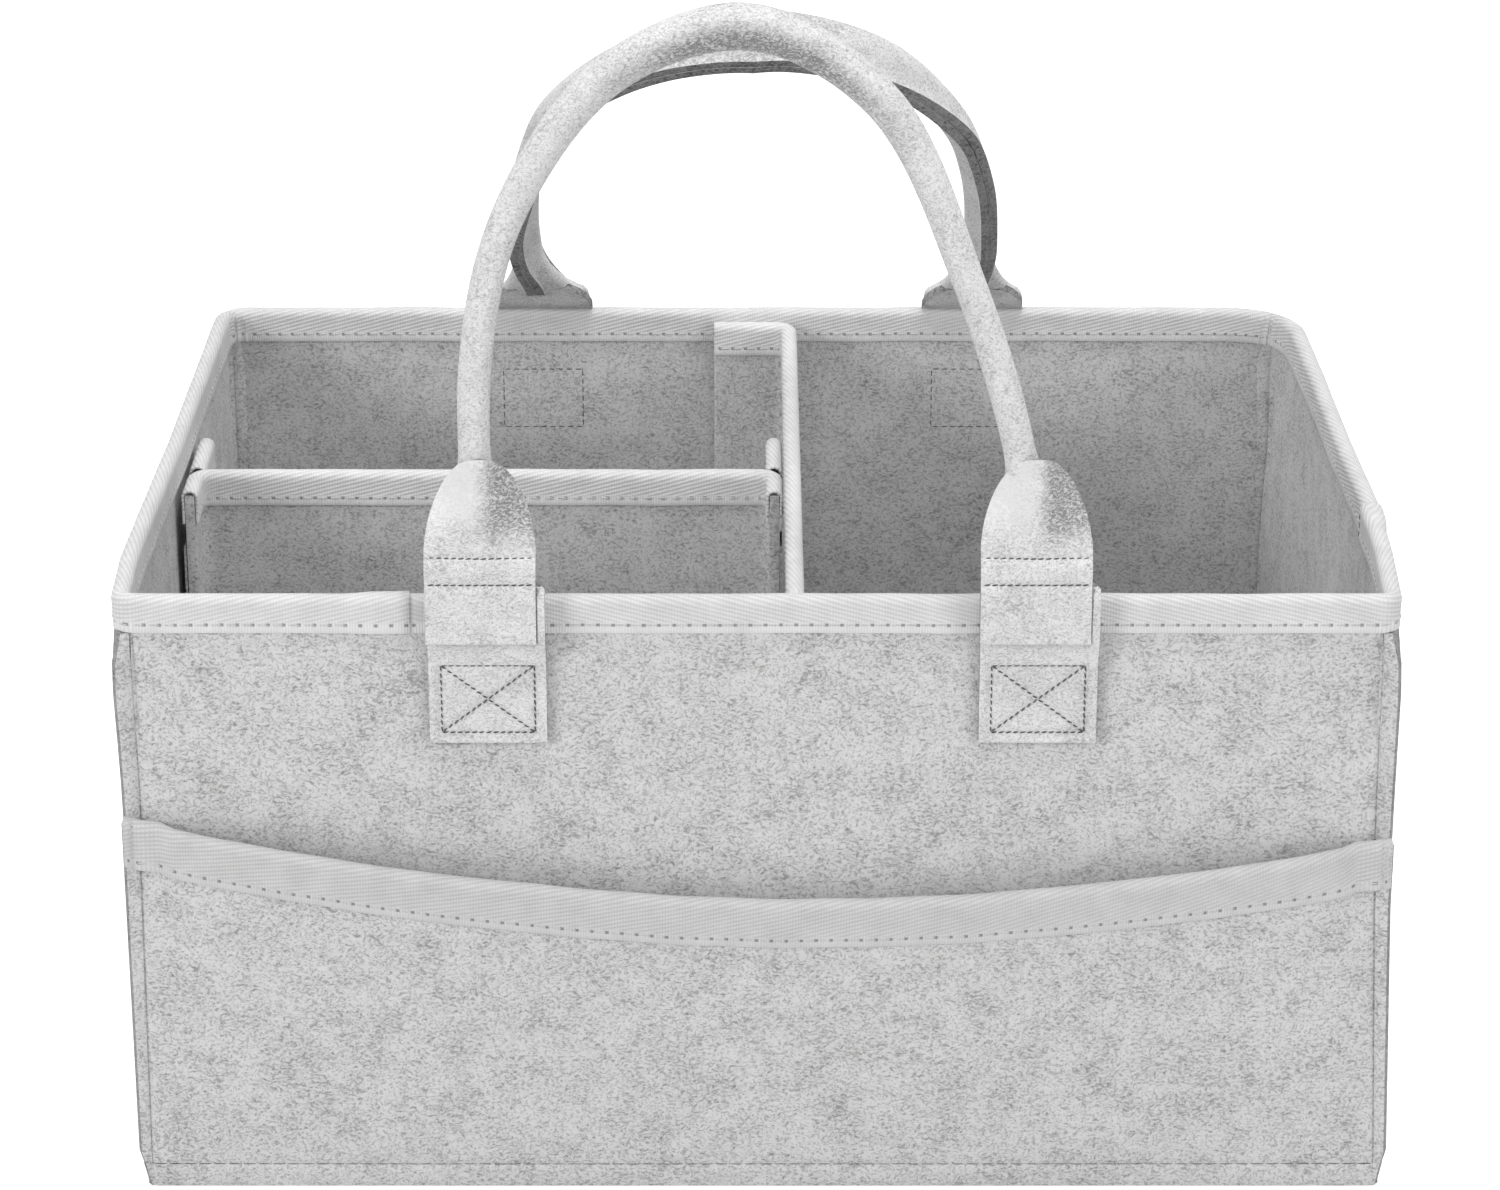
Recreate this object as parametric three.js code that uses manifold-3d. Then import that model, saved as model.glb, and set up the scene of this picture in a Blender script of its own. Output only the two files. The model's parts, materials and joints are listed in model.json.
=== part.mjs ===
// A nursery caddy of thick needle felt: an open box with a taped rim, two rolled carry handles,
// full-width outer pockets and two dividers that lift out.
// Millimetres, Z up, the front faces -Y, and the origin is on the floor under the middle of the box.
import * as THREE from "three";
import { mergeVertices } from "three/addons/utils/BufferGeometryUtils.js";
import Module from "manifold-3d";

const wasm = await Module();
wasm.setup();

// Sheet goods
const FELT = 3;
const TAPE = 0.9;
const HOOK_STRIP = 0.7;
const FIT = 0.3;

// Box, over the outer faces of the walls and up to the top of the rim tape
const WIDTH = 377;
const DEPTH = 277;
const HEIGHT = 195;
const RIM_RADIUS = 9;
const RIM_TAPE_DROP = 11.5;
const BASE_RISE = 9;

// Corner seams: two margins pressed together and pointing out at 45 degrees
const SEAM_ALLOWANCE = 6;
const SEAM_FOOT_CUT = 5;
const SEAM_FOOT_HEIGHT = 12;

// Pockets: the mouth hangs from its two ends to a low point beside the middle
const POCKET_LEFT_HEIGHT = 123;
const POCKET_RIGHT_HEIGHT = 116;
const POCKET_LOW_HEIGHT = 98.5;
const POCKET_LOW_X = 12;
const POCKET_BULGE = 6.5;
const POCKET_TAPE_DROP = 15.5;
const POCKET_TAPE_BACK = 10;
const POCKET_END_MARGIN = 8;
const MOUTH_CURVE = 1.6;
const BULGE_CURVE = 0.8;
const BULGE_RISE = 1.5;

// Handle anchors: drops are below the top of the rim
const STRAP_WIDTH = 34.5;
const STRAP_DROP = 46.5;
const STRAP_STEP_DROP = 21;
const TAB_WIDTH = 33.2;
const TAB_DROP = 14.5;
const TAB_RISE = 41;
const TAB_NOSE = 22;
const NOSE_SHOULDER = 0.45;
const NOSE_POINT = 0.36;
const HINGE_RISE = 1.5;
const HINGE_CLEARANCE = 0.4;
const TAB_RELIEF_DEG = 52;

// Handles: half the distance between the tabs, height of the arch above the hinge, and rest lean
const FRONT_HALF_SPAN = 81.5;
const REAR_HALF_SPAN = 75;
const HANDLE_RISE = 164;
const FRONT_LEAN_DEG = 8;
const REAR_LEAN_DEG = 40;
const GRIP_START = 9;
const GRIP_ROLL_END = 46;
const GRIP_LEG_RADIUS = 4.8;
const CROWN_HALF_WIDTH = 7;
const CROWN_HALF_DEPTH = 9.2;
const GRIP_FIN = 4;
const CROWN_SHARE = 0.5;
const CROWN_CURVE = 1.3;
const CORE_END_GAP = 12;
// Points of the arches as shares of the half span and of the rise
const FRONT_ARCH = [
  [-1, 0],
  [-1.01, 0.43],
  [-0.88, 0.69],
  [-0.52, 0.93],
  [-0.03, 1.01],
  [0.44, 0.88],
  [0.75, 0.56],
  [0.94, 0.25],
  [1, 0],
];
const REAR_ARCH = [
  [-1, 0],
  [-1, 0.35],
  [-0.96, 0.56],
  [-0.84, 0.75],
  [-0.5, 0.97],
  [0, 1.055],
  [0.5, 0.97],
  [0.86, 0.79],
  [1, 0.6],
  [1.05, 0.38],
  [1, 0],
];

// Dividers: drops are below the top of the rim
const MAIN_X = 11;
const MAIN_DROP = 3.5;
const MAIN_FLAP = 26;
const CROSS_Y = 0;
const CROSS_DROP = 11;
const CROSS_FLANGE = 20;
const CROSS_FLAP = 28;
const CROSS_FLAP_SEAT = 22;
const FOLD_RADIUS = 5;
const DIVIDER_TAPE_DROP = 11.5;
const HOOK_WIDTH = 14;
const HOOK_BOTTOM = 40;
const HOOK_DROP = 30;

// Facets
const ARC_STEPS = 6;
const POCKET_COLUMNS = 20;
const POCKET_ROWS = 6;
const GRIP_STATIONS = 40;
const GRIP_ARC_STEPS = 8;
const CORE_SIDES = 8;
const NOSE_STEPS = 10;

// Derived places
const halfX = WIDTH / 2;
const halfY = DEPTH / 2;
const skin = FIT + TAPE;
const feltTop = HEIGHT - skin;
const flangeTop = HEIGHT - RIM_TAPE_DROP - FIT;
const flangeReach = SEAM_ALLOWANCE * Math.SQRT1_2 - FELT;
const hingeZ = HEIGHT + HINGE_RISE;
const strapBottom = HEIGHT - STRAP_DROP;
const strapStep = HEIGHT - STRAP_STEP_DROP;
const mainTop = HEIGHT - MAIN_DROP;
const crossTop = HEIGHT - CROSS_DROP;
const anchorStack = HINGE_CLEARANCE + FELT + FIT + FELT;
const hingeOut = halfY + skin + FIT + anchorStack;
const hookStack = FIT + HOOK_STRIP;
const dividerFloor = BASE_RISE + FIT;

const felt = new THREE.MeshStandardMaterial({ color: 0xc9c9c9, roughness: 0.95, metalness: 0 });
const paleFelt = new THREE.MeshStandardMaterial({ color: 0xe6e6e6, roughness: 0.95, metalness: 0 });
const tape = new THREE.MeshStandardMaterial({ color: 0xdcdcdc, roughness: 0.8, metalness: 0 });
const hooks = new THREE.MeshStandardMaterial({ color: 0xb8b8b8, roughness: 0.7, metalness: 0 });
const foam = new THREE.MeshStandardMaterial({ color: 0xd8d8d4, roughness: 0.9, metalness: 0 });

const caddy = new THREE.Group();

function add(parent, name, geometry, material) {
  const mesh = new THREE.Mesh(geometry, material);
  mesh.name = name;
  parent.add(mesh);
  return mesh;
}

// Solids for cuts and joins

function solidOf(geometry) {
  const bare = new THREE.BufferGeometry();
  const source = geometry.index ? geometry.toNonIndexed() : geometry;
  bare.setAttribute("position", source.getAttribute("position"));
  const merged = mergeVertices(bare, 1e-4);
  return new wasm.Manifold(
    new wasm.Mesh({
      numProp: 3,
      vertProperties: merged.getAttribute("position").array,
      triVerts: new Uint32Array(merged.index.array),
    }),
  );
}

function geometryOf(solid) {
  const mesh = solid.getMesh();
  const geometry = new THREE.BufferGeometry();
  geometry.setAttribute("position", new THREE.BufferAttribute(mesh.vertProperties, 3));
  geometry.setIndex(new THREE.BufferAttribute(mesh.triVerts, 1));
  geometry.computeVertexNormals();
  return geometry;
}

const joined = (...geometries) =>
  geometryOf(geometries.map(solidOf).reduce((whole, piece) => whole.add(piece)));

const cut = (geometry, ...cutters) =>
  geometryOf(cutters.map(solidOf).reduce((whole, piece) => whole.subtract(piece), solidOf(geometry)));

// Basic forms

function box(x0, x1, y0, y1, z0, z1) {
  const block = new THREE.BoxGeometry(x1 - x0, y1 - y0, z1 - z0);
  return block.translate((x0 + x1) / 2, (y0 + y1) / 2, (z0 + z1) / 2);
}

// An upright prism on a plan outline of [x, y] points
function prism(outline, z0, z1) {
  const shape = new THREE.Shape(outline.map(([x, y]) => new THREE.Vector2(x, y)));
  const solid = new THREE.ExtrudeGeometry(shape, { depth: z1 - z0, bevelEnabled: false });
  return solid.translate(0, 0, z0);
}

// A prism along X on a side outline of [y, z] points
function sidePrism(outline, x0, x1) {
  const solid = prism(outline, 0, x1 - x0);
  const turn = new THREE.Matrix4().set(0, 0, 1, x0, 1, 0, 0, 0, 0, 1, 0, 0, 0, 0, 0, 1);
  return solid.applyMatrix4(turn);
}

// A skin through rings of points, capped at both ends or closed on itself
function loft(rings, section, closed = false) {
  const size = rings[0].length;
  const positions = rings.flatMap((ring) => ring.flatMap((point) => point));
  const faces = [];
  const spans = closed ? rings.length : rings.length - 1;
  for (let i = 0; i < spans; i += 1) {
    const near = i * size;
    const far = ((i + 1) % rings.length) * size;
    for (let j = 0; j < size; j += 1) {
      const next = (j + 1) % size;
      faces.push([near + j, near + next, far + next]);
      faces.push([near + j, far + next, far + j]);
    }
  }
  if (!closed) {
    const contour = section.map(([u, v]) => new THREE.Vector2(u, v));
    const last = (rings.length - 1) * size;
    const clockwise = THREE.ShapeUtils.isClockWise(contour);
    for (const [a, b, c] of THREE.ShapeUtils.triangulateShape(contour, [])) {
      const [p, q, r] = clockwise ? [a, b, c] : [a, c, b];
      faces.push([p, q, r]);
      faces.push([last + p, last + r, last + q]);
    }
  }
  const geometry = new THREE.BufferGeometry();
  geometry.setAttribute("position", new THREE.Float32BufferAttribute(positions, 3));
  geometry.setIndex(faces.flat());
  return facingOut(geometry);
}

// Turns a closed skin round when it encloses a negative volume
function facingOut(geometry) {
  const place = geometry.getAttribute("position");
  const index = geometry.index.array;
  const corner = (i) => new THREE.Vector3().fromBufferAttribute(place, index[i]);
  let volume = 0;
  for (let i = 0; i < index.length; i += 3) {
    volume += corner(i).dot(corner(i + 1).cross(corner(i + 2)));
  }
  if (volume < 0) {
    for (let i = 0; i < index.length; i += 3) {
      [index[i + 1], index[i + 2]] = [index[i + 2], index[i + 1]];
    }
  }
  geometry.computeVertexNormals();
  return geometry;
}

// A folded strip's centre line: straight runs with a round bend at each inner corner
function foldedLine(corners, radius) {
  const points = [corners[0]];
  for (let i = 1; i < corners.length - 1; i += 1) {
    const here = new THREE.Vector2(...corners[i]);
    const back = new THREE.Vector2(...corners[i - 1]).sub(here).normalize();
    const ahead = new THREE.Vector2(...corners[i + 1]).sub(here).normalize();
    const start = here.clone().addScaledVector(back, radius);
    const end = here.clone().addScaledVector(ahead, radius);
    const bend = new THREE.QuadraticBezierCurve(start, here, end);
    bend.getPoints(ARC_STEPS).forEach((point) => points.push([point.x, point.y]));
  }
  points.push(corners.at(-1));
  return points;
}

// The same line moved sideways, to its left where the offset is positive
function movedSideways(line, offset) {
  return line.map((point, i) => {
    const before = line[Math.max(i - 1, 0)];
    const after = line[Math.min(i + 1, line.length - 1)];
    const incoming = new THREE.Vector2(point[0] - before[0], point[1] - before[1]);
    const outgoing = new THREE.Vector2(after[0] - point[0], after[1] - point[1]);
    if (i === 0) incoming.copy(outgoing);
    if (i === line.length - 1) outgoing.copy(incoming);
    const along = incoming.normalize().clone().add(outgoing.normalize()).normalize();
    const stretch = offset / along.dot(incoming);
    return [point[0] - along.y * stretch, point[1] + along.x * stretch];
  });
}

function foldedSheet(line, thickness, z0, z1) {
  const left = movedSideways(line, thickness / 2);
  const right = movedSideways(line, -thickness / 2);
  return prism([...right, ...left.reverse()], z0, z1);
}

// The section of tape folded over an edge: [offset from the felt's back face, height] points
function tapeSection(top, frontDrop, backDrop) {
  const front = FELT + skin;
  const back = -skin;
  return [
    [front, top - frontDrop],
    [front, top - TAPE],
    [front - TAPE, top],
    [back + TAPE, top],
    [back, top - TAPE],
    [back, top - backDrop],
    [back + TAPE, top - backDrop],
    [back + TAPE, top - TAPE],
    [front - TAPE, top - TAPE],
    [front - TAPE, top - frontDrop],
  ];
}

function tapeAlong(line, top) {
  const section = tapeSection(top, DIVIDER_TAPE_DROP, DIVIDER_TAPE_DROP);
  const moved = section.map(([offset]) => movedSideways(line, offset - FELT / 2));
  const rings = line.map((_, i) => section.map(([, z], j) => [...moved[j][i], z]));
  return loft(rings, section);
}

// Box

// A wall's plan, running along X with its outer face towards -Y
function wallPlan(halfLength, out) {
  const contact = FIT / 2;
  const face = FELT + contact;
  const tip = (k) => [
    halfLength + flangeReach - k * Math.SQRT1_2,
    -out - flangeReach - k * Math.SQRT1_2,
  ];
  const right = [
    [halfLength - FELT - contact * Math.SQRT2, -out + FELT],
    tip(contact),
    tip(face),
    [halfLength - face * Math.SQRT2, -out],
  ];
  const left = right.map(([x, y]) => [-x, y]).reverse();
  return [...right, ...left].reverse();
}

// The wall's plan above the corner seams, where the rim turns a round corner
function rimPlan(halfLength, out) {
  const centreX = halfLength - RIM_RADIUS;
  const centreY = -out + RIM_RADIUS;
  const arc = (radius) => {
    const slack = FIT / 2 / radius;
    const points = [];
    for (let i = 0; i <= ARC_STEPS; i += 1) {
      const angle = THREE.MathUtils.lerp(-Math.PI / 2, -Math.PI / 4 - slack, i / ARC_STEPS);
      points.push([centreX + radius * Math.cos(angle), centreY + radius * Math.sin(angle)]);
    }
    return points;
  };
  const mirrored = (points) => points.map(([x, y]) => [-x, y]).reverse();
  const outer = arc(RIM_RADIUS);
  const inner = arc(RIM_RADIUS - FELT);
  return [...mirrored(outer), ...outer, ...inner.toReversed(), ...mirrored(inner).toReversed()];
}

// The slanting cut at the foot of a corner seam
function seamFootCut(halfLength, out, side) {
  const reach = 4 * SEAM_ALLOWANCE;
  const tip = flangeReach * Math.SQRT2;
  const slope = SEAM_FOOT_CUT / SEAM_FOOT_HEIGHT;
  const outline = [
    [tip - SEAM_FOOT_CUT - slope * reach, -reach],
    [tip + reach, -reach],
    [tip + reach, SEAM_FOOT_HEIGHT + reach / slope],
  ];
  const wedge = sidePrism(outline, -reach, reach);
  wedge.rotateZ(side * THREE.MathUtils.degToRad(-135));
  return wedge.translate(side * halfLength, -out, 0);
}

function wall(halfLength, out) {
  const lower = prism(wallPlan(halfLength, out), 0, flangeTop);
  const upper = prism(rimPlan(halfLength, out), flangeTop, feltTop);
  const whole = joined(lower, upper);
  return cut(whole, seamFootCut(halfLength, out, 1), seamFootCut(halfLength, out, -1));
}

function buildWalls() {
  add(caddy, "front_panel", wall(halfX, halfY), felt);
  add(caddy, "right_side_panel", wall(halfY, halfX), felt).rotation.z = Math.PI / 2;
  add(caddy, "back_panel", wall(halfX, halfY), felt).rotation.z = Math.PI;
  add(caddy, "left_side_panel", wall(halfY, halfX), felt).rotation.z = -Math.PI / 2;
}

// The base panel's margin is turned down all round and sewn to the feet of the walls
function buildBase() {
  const x = halfX - FELT - FIT;
  const y = halfY - FELT - FIT;
  const plate = box(-x, x, -y, y, 0, BASE_RISE);
  const hollow = box(-x + FELT, x - FELT, -y + FELT, y - FELT, -BASE_RISE, BASE_RISE - FELT);
  add(caddy, "base_panel", cut(plate, hollow), felt);
}

function buildRimBinding() {
  const section = tapeSection(HEIGHT, RIM_TAPE_DROP, RIM_TAPE_DROP);
  const rings = [];
  const corners = [
    [1, 1, 0],
    [-1, 1, Math.PI / 2],
    [-1, -1, Math.PI],
    [1, -1, 1.5 * Math.PI],
  ];
  for (const [sx, sy, start] of corners) {
    const cx = sx * (halfX - RIM_RADIUS);
    const cy = sy * (halfY - RIM_RADIUS);
    for (let i = 0; i <= ARC_STEPS; i += 1) {
      const angle = start + ((Math.PI / 2) * i) / ARC_STEPS;
      const inner = RIM_RADIUS - FELT;
      rings.push(
        section.map(([offset, z]) => [
          cx + (inner + offset) * Math.cos(angle),
          cy + (inner + offset) * Math.sin(angle),
          z,
        ]),
      );
    }
  }
  add(caddy, "rim_binding", loft(rings, section, true), tape);
}

// Pockets

function pocketMouth(x) {
  const onLeft = x < POCKET_LOW_X;
  const run = onLeft ? halfX + POCKET_LOW_X : halfX - POCKET_LOW_X;
  const rise = (onLeft ? POCKET_LEFT_HEIGHT : POCKET_RIGHT_HEIGHT) - POCKET_LOW_HEIGHT;
  return POCKET_LOW_HEIGHT + rise * (Math.abs(x - POCKET_LOW_X) / run) ** MOUTH_CURVE;
}

// Columns across the pocket. Each gives its plan point at an offset from the wall's outer face.
function pocketColumns() {
  const seam = (side) => {
    const fold = (k) => [side * (halfX - FELT - (Math.SQRT2 - 1) * (FELT + k)), -halfY - k];
    const tip = (k) => [
      side * (halfX + flangeReach - (FELT + k) * Math.SQRT1_2),
      -halfY - flangeReach - (FELT + k) * Math.SQRT1_2,
    ];
    return side < 0 ? [tip, fold] : [fold, tip];
  };
  const reach = halfX - FELT - POCKET_END_MARGIN;
  const columns = [];
  const place = (at, bulge) => columns.push({ at, bulge, mouth: pocketMouth(at(0)[0]) });
  seam(-1).forEach((at) => place(at, 0));
  for (let i = 0; i <= POCKET_COLUMNS; i += 1) {
    const share = (2 * i) / POCKET_COLUMNS - 1;
    const x = share * reach;
    place((k) => [x, -halfY - k], POCKET_BULGE * (1 - share ** 2) ** BULGE_CURVE);
  }
  seam(1).forEach((at) => place(at, 0));
  return columns;
}

function pocketGap(column, share) {
  return FIT + (skin + column.bulge) * share ** BULGE_RISE;
}

function pocketSheet(columns) {
  const shares = Array.from({ length: POCKET_ROWS + 1 }, (_, i) => i / POCKET_ROWS);
  const sectionOf = (column) => [
    ...shares.map((share) => [pocketGap(column, share), share * column.mouth]),
    ...shares.toReversed().map((share) => [pocketGap(column, share) + FELT, share * column.mouth]),
  ];
  const rings = columns.map((column) => sectionOf(column).map(([k, z]) => [...column.at(k), z]));
  const sheet = loft(rings, sectionOf(columns[0]));
  return cut(sheet, seamFootCut(halfX, halfY, 1), seamFootCut(halfX, halfY, -1));
}

function pocketBinding(columns) {
  const sectionOf = (column) => {
    const section = tapeSection(column.mouth + skin, POCKET_TAPE_DROP, POCKET_TAPE_BACK);
    return section.map(([offset, z]) => {
      const share = Math.min(z / column.mouth, 1);
      return [offset + pocketGap(column, share), z];
    });
  };
  const rings = columns.map((column) => sectionOf(column).map(([k, z]) => [...column.at(k), z]));
  return loft(rings, sectionOf(columns[0]));
}

function buildPockets() {
  const columns = pocketColumns();
  for (const [side, turn] of [["front", 0], ["back", Math.PI]]) {
    add(caddy, `${side}_pocket`, pocketSheet(columns), felt).rotation.z = turn;
    add(caddy, `${side}_pocket_binding`, pocketBinding(columns), tape).rotation.z = turn;
  }
}

// Handle anchors: a strap sewn to the wall, and the foot of the tab that hangs over it

function anchorStrap(x) {
  const faceLow = -halfY - FIT;
  const faceHigh = -halfY - skin - FIT;
  const top = hingeZ - HINGE_CLEARANCE;
  const outline = [
    [faceLow, strapBottom],
    [faceLow, strapStep],
    [faceHigh, flangeTop - FIT],
    [faceHigh, HEIGHT],
    [faceHigh - FELT, top],
    [faceHigh - FELT, flangeTop - FIT],
    [faceLow - FELT, strapStep],
    [faceLow - FELT, strapBottom],
  ];
  return sidePrism(outline, x - STRAP_WIDTH / 2, x + STRAP_WIDTH / 2);
}

function tabFoot(x) {
  const outer = -hingeOut + HINGE_CLEARANCE;
  const top = hingeZ - HINGE_CLEARANCE;
  return box(x - TAB_WIDTH / 2, x + TAB_WIDTH / 2, outer, outer + FELT, HEIGHT - TAB_DROP, top);
}

function buildAnchors(side, halfSpan, turn) {
  const group = new THREE.Group();
  group.rotation.z = turn;
  caddy.add(group);
  const leftEnd = turn === 0 ? -halfSpan : halfSpan;
  for (const [hand, x] of [["left", leftEnd], ["right", -leftEnd]]) {
    add(group, `${side}_${hand}_strap`, anchorStrap(x), paleFelt);
    add(group, `${side}_${hand}_tab_foot`, tabFoot(x), paleFelt);
  }
}

// Handles, built upright with the hinge along X at the origin and the basket towards +Y

const gripFace = HINGE_CLEARANCE + FELT + FIT;

function tab(x) {
  const half = TAB_WIDTH / 2;
  const shape = new THREE.Shape();
  const shoulder = TAB_RISE - TAB_NOSE;
  shape.moveTo(-half, 0);
  shape.lineTo(half, 0);
  shape.lineTo(half, shoulder);
  const flank = TAB_RISE - NOSE_SHOULDER * TAB_NOSE;
  const point = NOSE_POINT * half;
  shape.bezierCurveTo(half, flank, point, TAB_RISE, 0, TAB_RISE);
  shape.bezierCurveTo(-point, TAB_RISE, -half, flank, -half, shoulder);
  const sheet = new THREE.ExtrudeGeometry(shape, {
    depth: FELT,
    bevelEnabled: false,
    curveSegments: NOSE_STEPS,
  });
  sheet.rotateX(Math.PI / 2).translate(x, HINGE_CLEARANCE + FELT, 0);
  const rise = (FELT + HINGE_CLEARANCE) * Math.tan(THREE.MathUtils.degToRad(TAB_RELIEF_DEG));
  const relief = sidePrism(
    [
      [-FELT, HINGE_CLEARANCE],
      [-FELT, -FELT],
      [2 * FELT, -FELT],
      [2 * FELT, HINGE_CLEARANCE + rise * 2],
      [HINGE_CLEARANCE, HINGE_CLEARANCE],
    ].reverse(),
    x - TAB_WIDTH,
    x + TAB_WIDTH,
  );
  return cut(sheet, relief);
}

// The rolled strip's centre line at one station: flat where roll is 0, a drop with two fins where it is 1
function gripCentreLine(roll, outer) {
  const width = outer.halfWidth - FELT / 2;
  const depth = outer.halfDepth - FELT / 2;
  const finTip = depth + GRIP_FIN;
  const finHalf = (FELT + FIT) / 2;
  const finSpread = (finHalf * depth) / width;
  const tangent = Math.atan2(finSpread, finTip) + Math.acos(depth / Math.hypot(finSpread, finTip));
  const rolled = [[finHalf, finTip]];
  for (let i = 0; i <= GRIP_ARC_STEPS; i += 1) {
    const angle = THREE.MathUtils.lerp(tangent, 2 * Math.PI - tangent, i / GRIP_ARC_STEPS);
    rolled.push([width * Math.sin(angle), depth * Math.cos(angle)]);
  }
  rolled.push([-finHalf, finTip]);
  const last = rolled.length - 1;
  return rolled.map(([a, b], i) => {
    const flat = TAB_WIDTH * (0.5 - i / last);
    return [THREE.MathUtils.lerp(flat, a, roll), (b + depth) * roll + FELT / 2];
  });
}

function arch(points, halfSpan) {
  const places = points.map(([x, h]) => new THREE.Vector3(x * halfSpan, 0, h * HANDLE_RISE));
  return new THREE.CatmullRomCurve3(places, false, "centripetal");
}

// Half the tube's size over the felt: round in the legs, deeper than wide at the crown
function tubeSize(share) {
  const fromCrown = Math.min(Math.abs(2 * share - 1) / CROWN_SHARE, 1);
  const crown = (1 - fromCrown) ** CROWN_CURVE;
  return {
    halfWidth: THREE.MathUtils.lerp(GRIP_LEG_RADIUS, CROWN_HALF_WIDTH, crown),
    halfDepth: THREE.MathUtils.lerp(GRIP_LEG_RADIUS, CROWN_HALF_DEPTH, crown),
  };
}

// One station of the arch: its place and its two cross directions as a function of a section point
function stationAt(curve, share) {
  const centre = curve.getPointAt(share);
  const along = curve.getTangentAt(share);
  return ([a, b]) => [centre.x + along.z * a, gripFace + b, centre.z - along.x * a];
}

function grip(curve) {
  const length = curve.getLength();
  const first = GRIP_START / length;
  const rings = [];
  let section = [];
  for (let i = 0; i <= GRIP_STATIONS; i += 1) {
    const share = THREE.MathUtils.lerp(first, 1 - first, i / GRIP_STATIONS);
    const fromEnd = Math.min(share, 1 - share) * length;
    const roll = THREE.MathUtils.smoothstep(fromEnd, GRIP_START, GRIP_ROLL_END);
    const centreLine = gripCentreLine(roll, tubeSize(share));
    const inner = movedSideways(centreLine, FELT / 2);
    const outer = movedSideways(centreLine, -FELT / 2);
    const ring = [...inner, ...outer.reverse()];
    if (i === 0) section = ring;
    rings.push(ring.map(stationAt(curve, share)));
  }
  return loft(rings, section);
}

function gripCore(curve) {
  const length = curve.getLength();
  const first = (GRIP_ROLL_END + CORE_END_GAP) / length;
  const circle = Array.from({ length: CORE_SIDES }, (_, i) => {
    const angle = (2 * Math.PI * i) / CORE_SIDES;
    return [Math.cos(angle), Math.sin(angle)];
  });
  const rings = [];
  for (let i = 0; i <= GRIP_STATIONS; i += 1) {
    const share = THREE.MathUtils.lerp(first, 1 - first, i / GRIP_STATIONS);
    const outer = tubeSize(share);
    const facets = Math.cos(Math.PI / GRIP_ARC_STEPS);
    const radius = (outer.halfWidth - FELT) * facets - FIT;
    const section = circle.map(([a, b]) => [radius * a, radius * b + outer.halfDepth]);
    rings.push(section.map(stationAt(curve, share)));
  }
  return loft(rings, circle);
}

function buildHandle(side, points, halfSpan, leanDeg, turn) {
  const turned = new THREE.Group();
  turned.rotation.z = turn;
  caddy.add(turned);
  const handle = new THREE.Group();
  handle.position.set(0, -hingeOut, hingeZ);
  handle.rotation.x = -THREE.MathUtils.degToRad(leanDeg);
  turned.add(handle);
  const curve = arch(points, halfSpan);
  add(handle, `${side}_handle_grip`, grip(curve), paleFelt);
  add(handle, `${side}_handle_core`, gripCore(curve), foam);
  const leftEnd = turn === 0 ? -halfSpan : halfSpan;
  for (const [hand, x] of [["left", leftEnd], ["right", -leftEnd]]) {
    add(handle, `${side}_handle_${hand}_tab`, tab(x), paleFelt);
  }
}

// Dividers

const flapFace = halfY - FELT - skin - FIT - skin;

function hookStrip(length) {
  return box(-length / 2, length / 2, -HOOK_STRIP / 2, HOOK_STRIP / 2, HOOK_BOTTOM, HEIGHT - HOOK_DROP);
}

function buildMainDivider() {
  const flapY = flapFace - FELT / 2;
  const line = foldedLine(
    [
      [MAIN_X - MAIN_FLAP, -flapY],
      [MAIN_X, -flapY],
      [MAIN_X, flapY],
      [MAIN_X - MAIN_FLAP, flapY],
    ],
    FOLD_RADIUS,
  );
  add(caddy, "main_divider", foldedSheet(line, FELT, dividerFloor, mainTop - skin), felt);
  add(caddy, "main_divider_binding", tapeAlong(line, mainTop), tape);
  const stripX = MAIN_X - MAIN_FLAP + HOOK_WIDTH / 2 + FIT;
  const stripY = flapFace + hookStack - HOOK_STRIP / 2;
  for (const [end, sign] of [["front", -1], ["rear", 1]]) {
    const strip = add(caddy, `main_divider_${end}_hook_strip`, hookStrip(HOOK_WIDTH), hooks);
    strip.position.set(stripX, sign * stripY, 0);
  }
}

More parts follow.
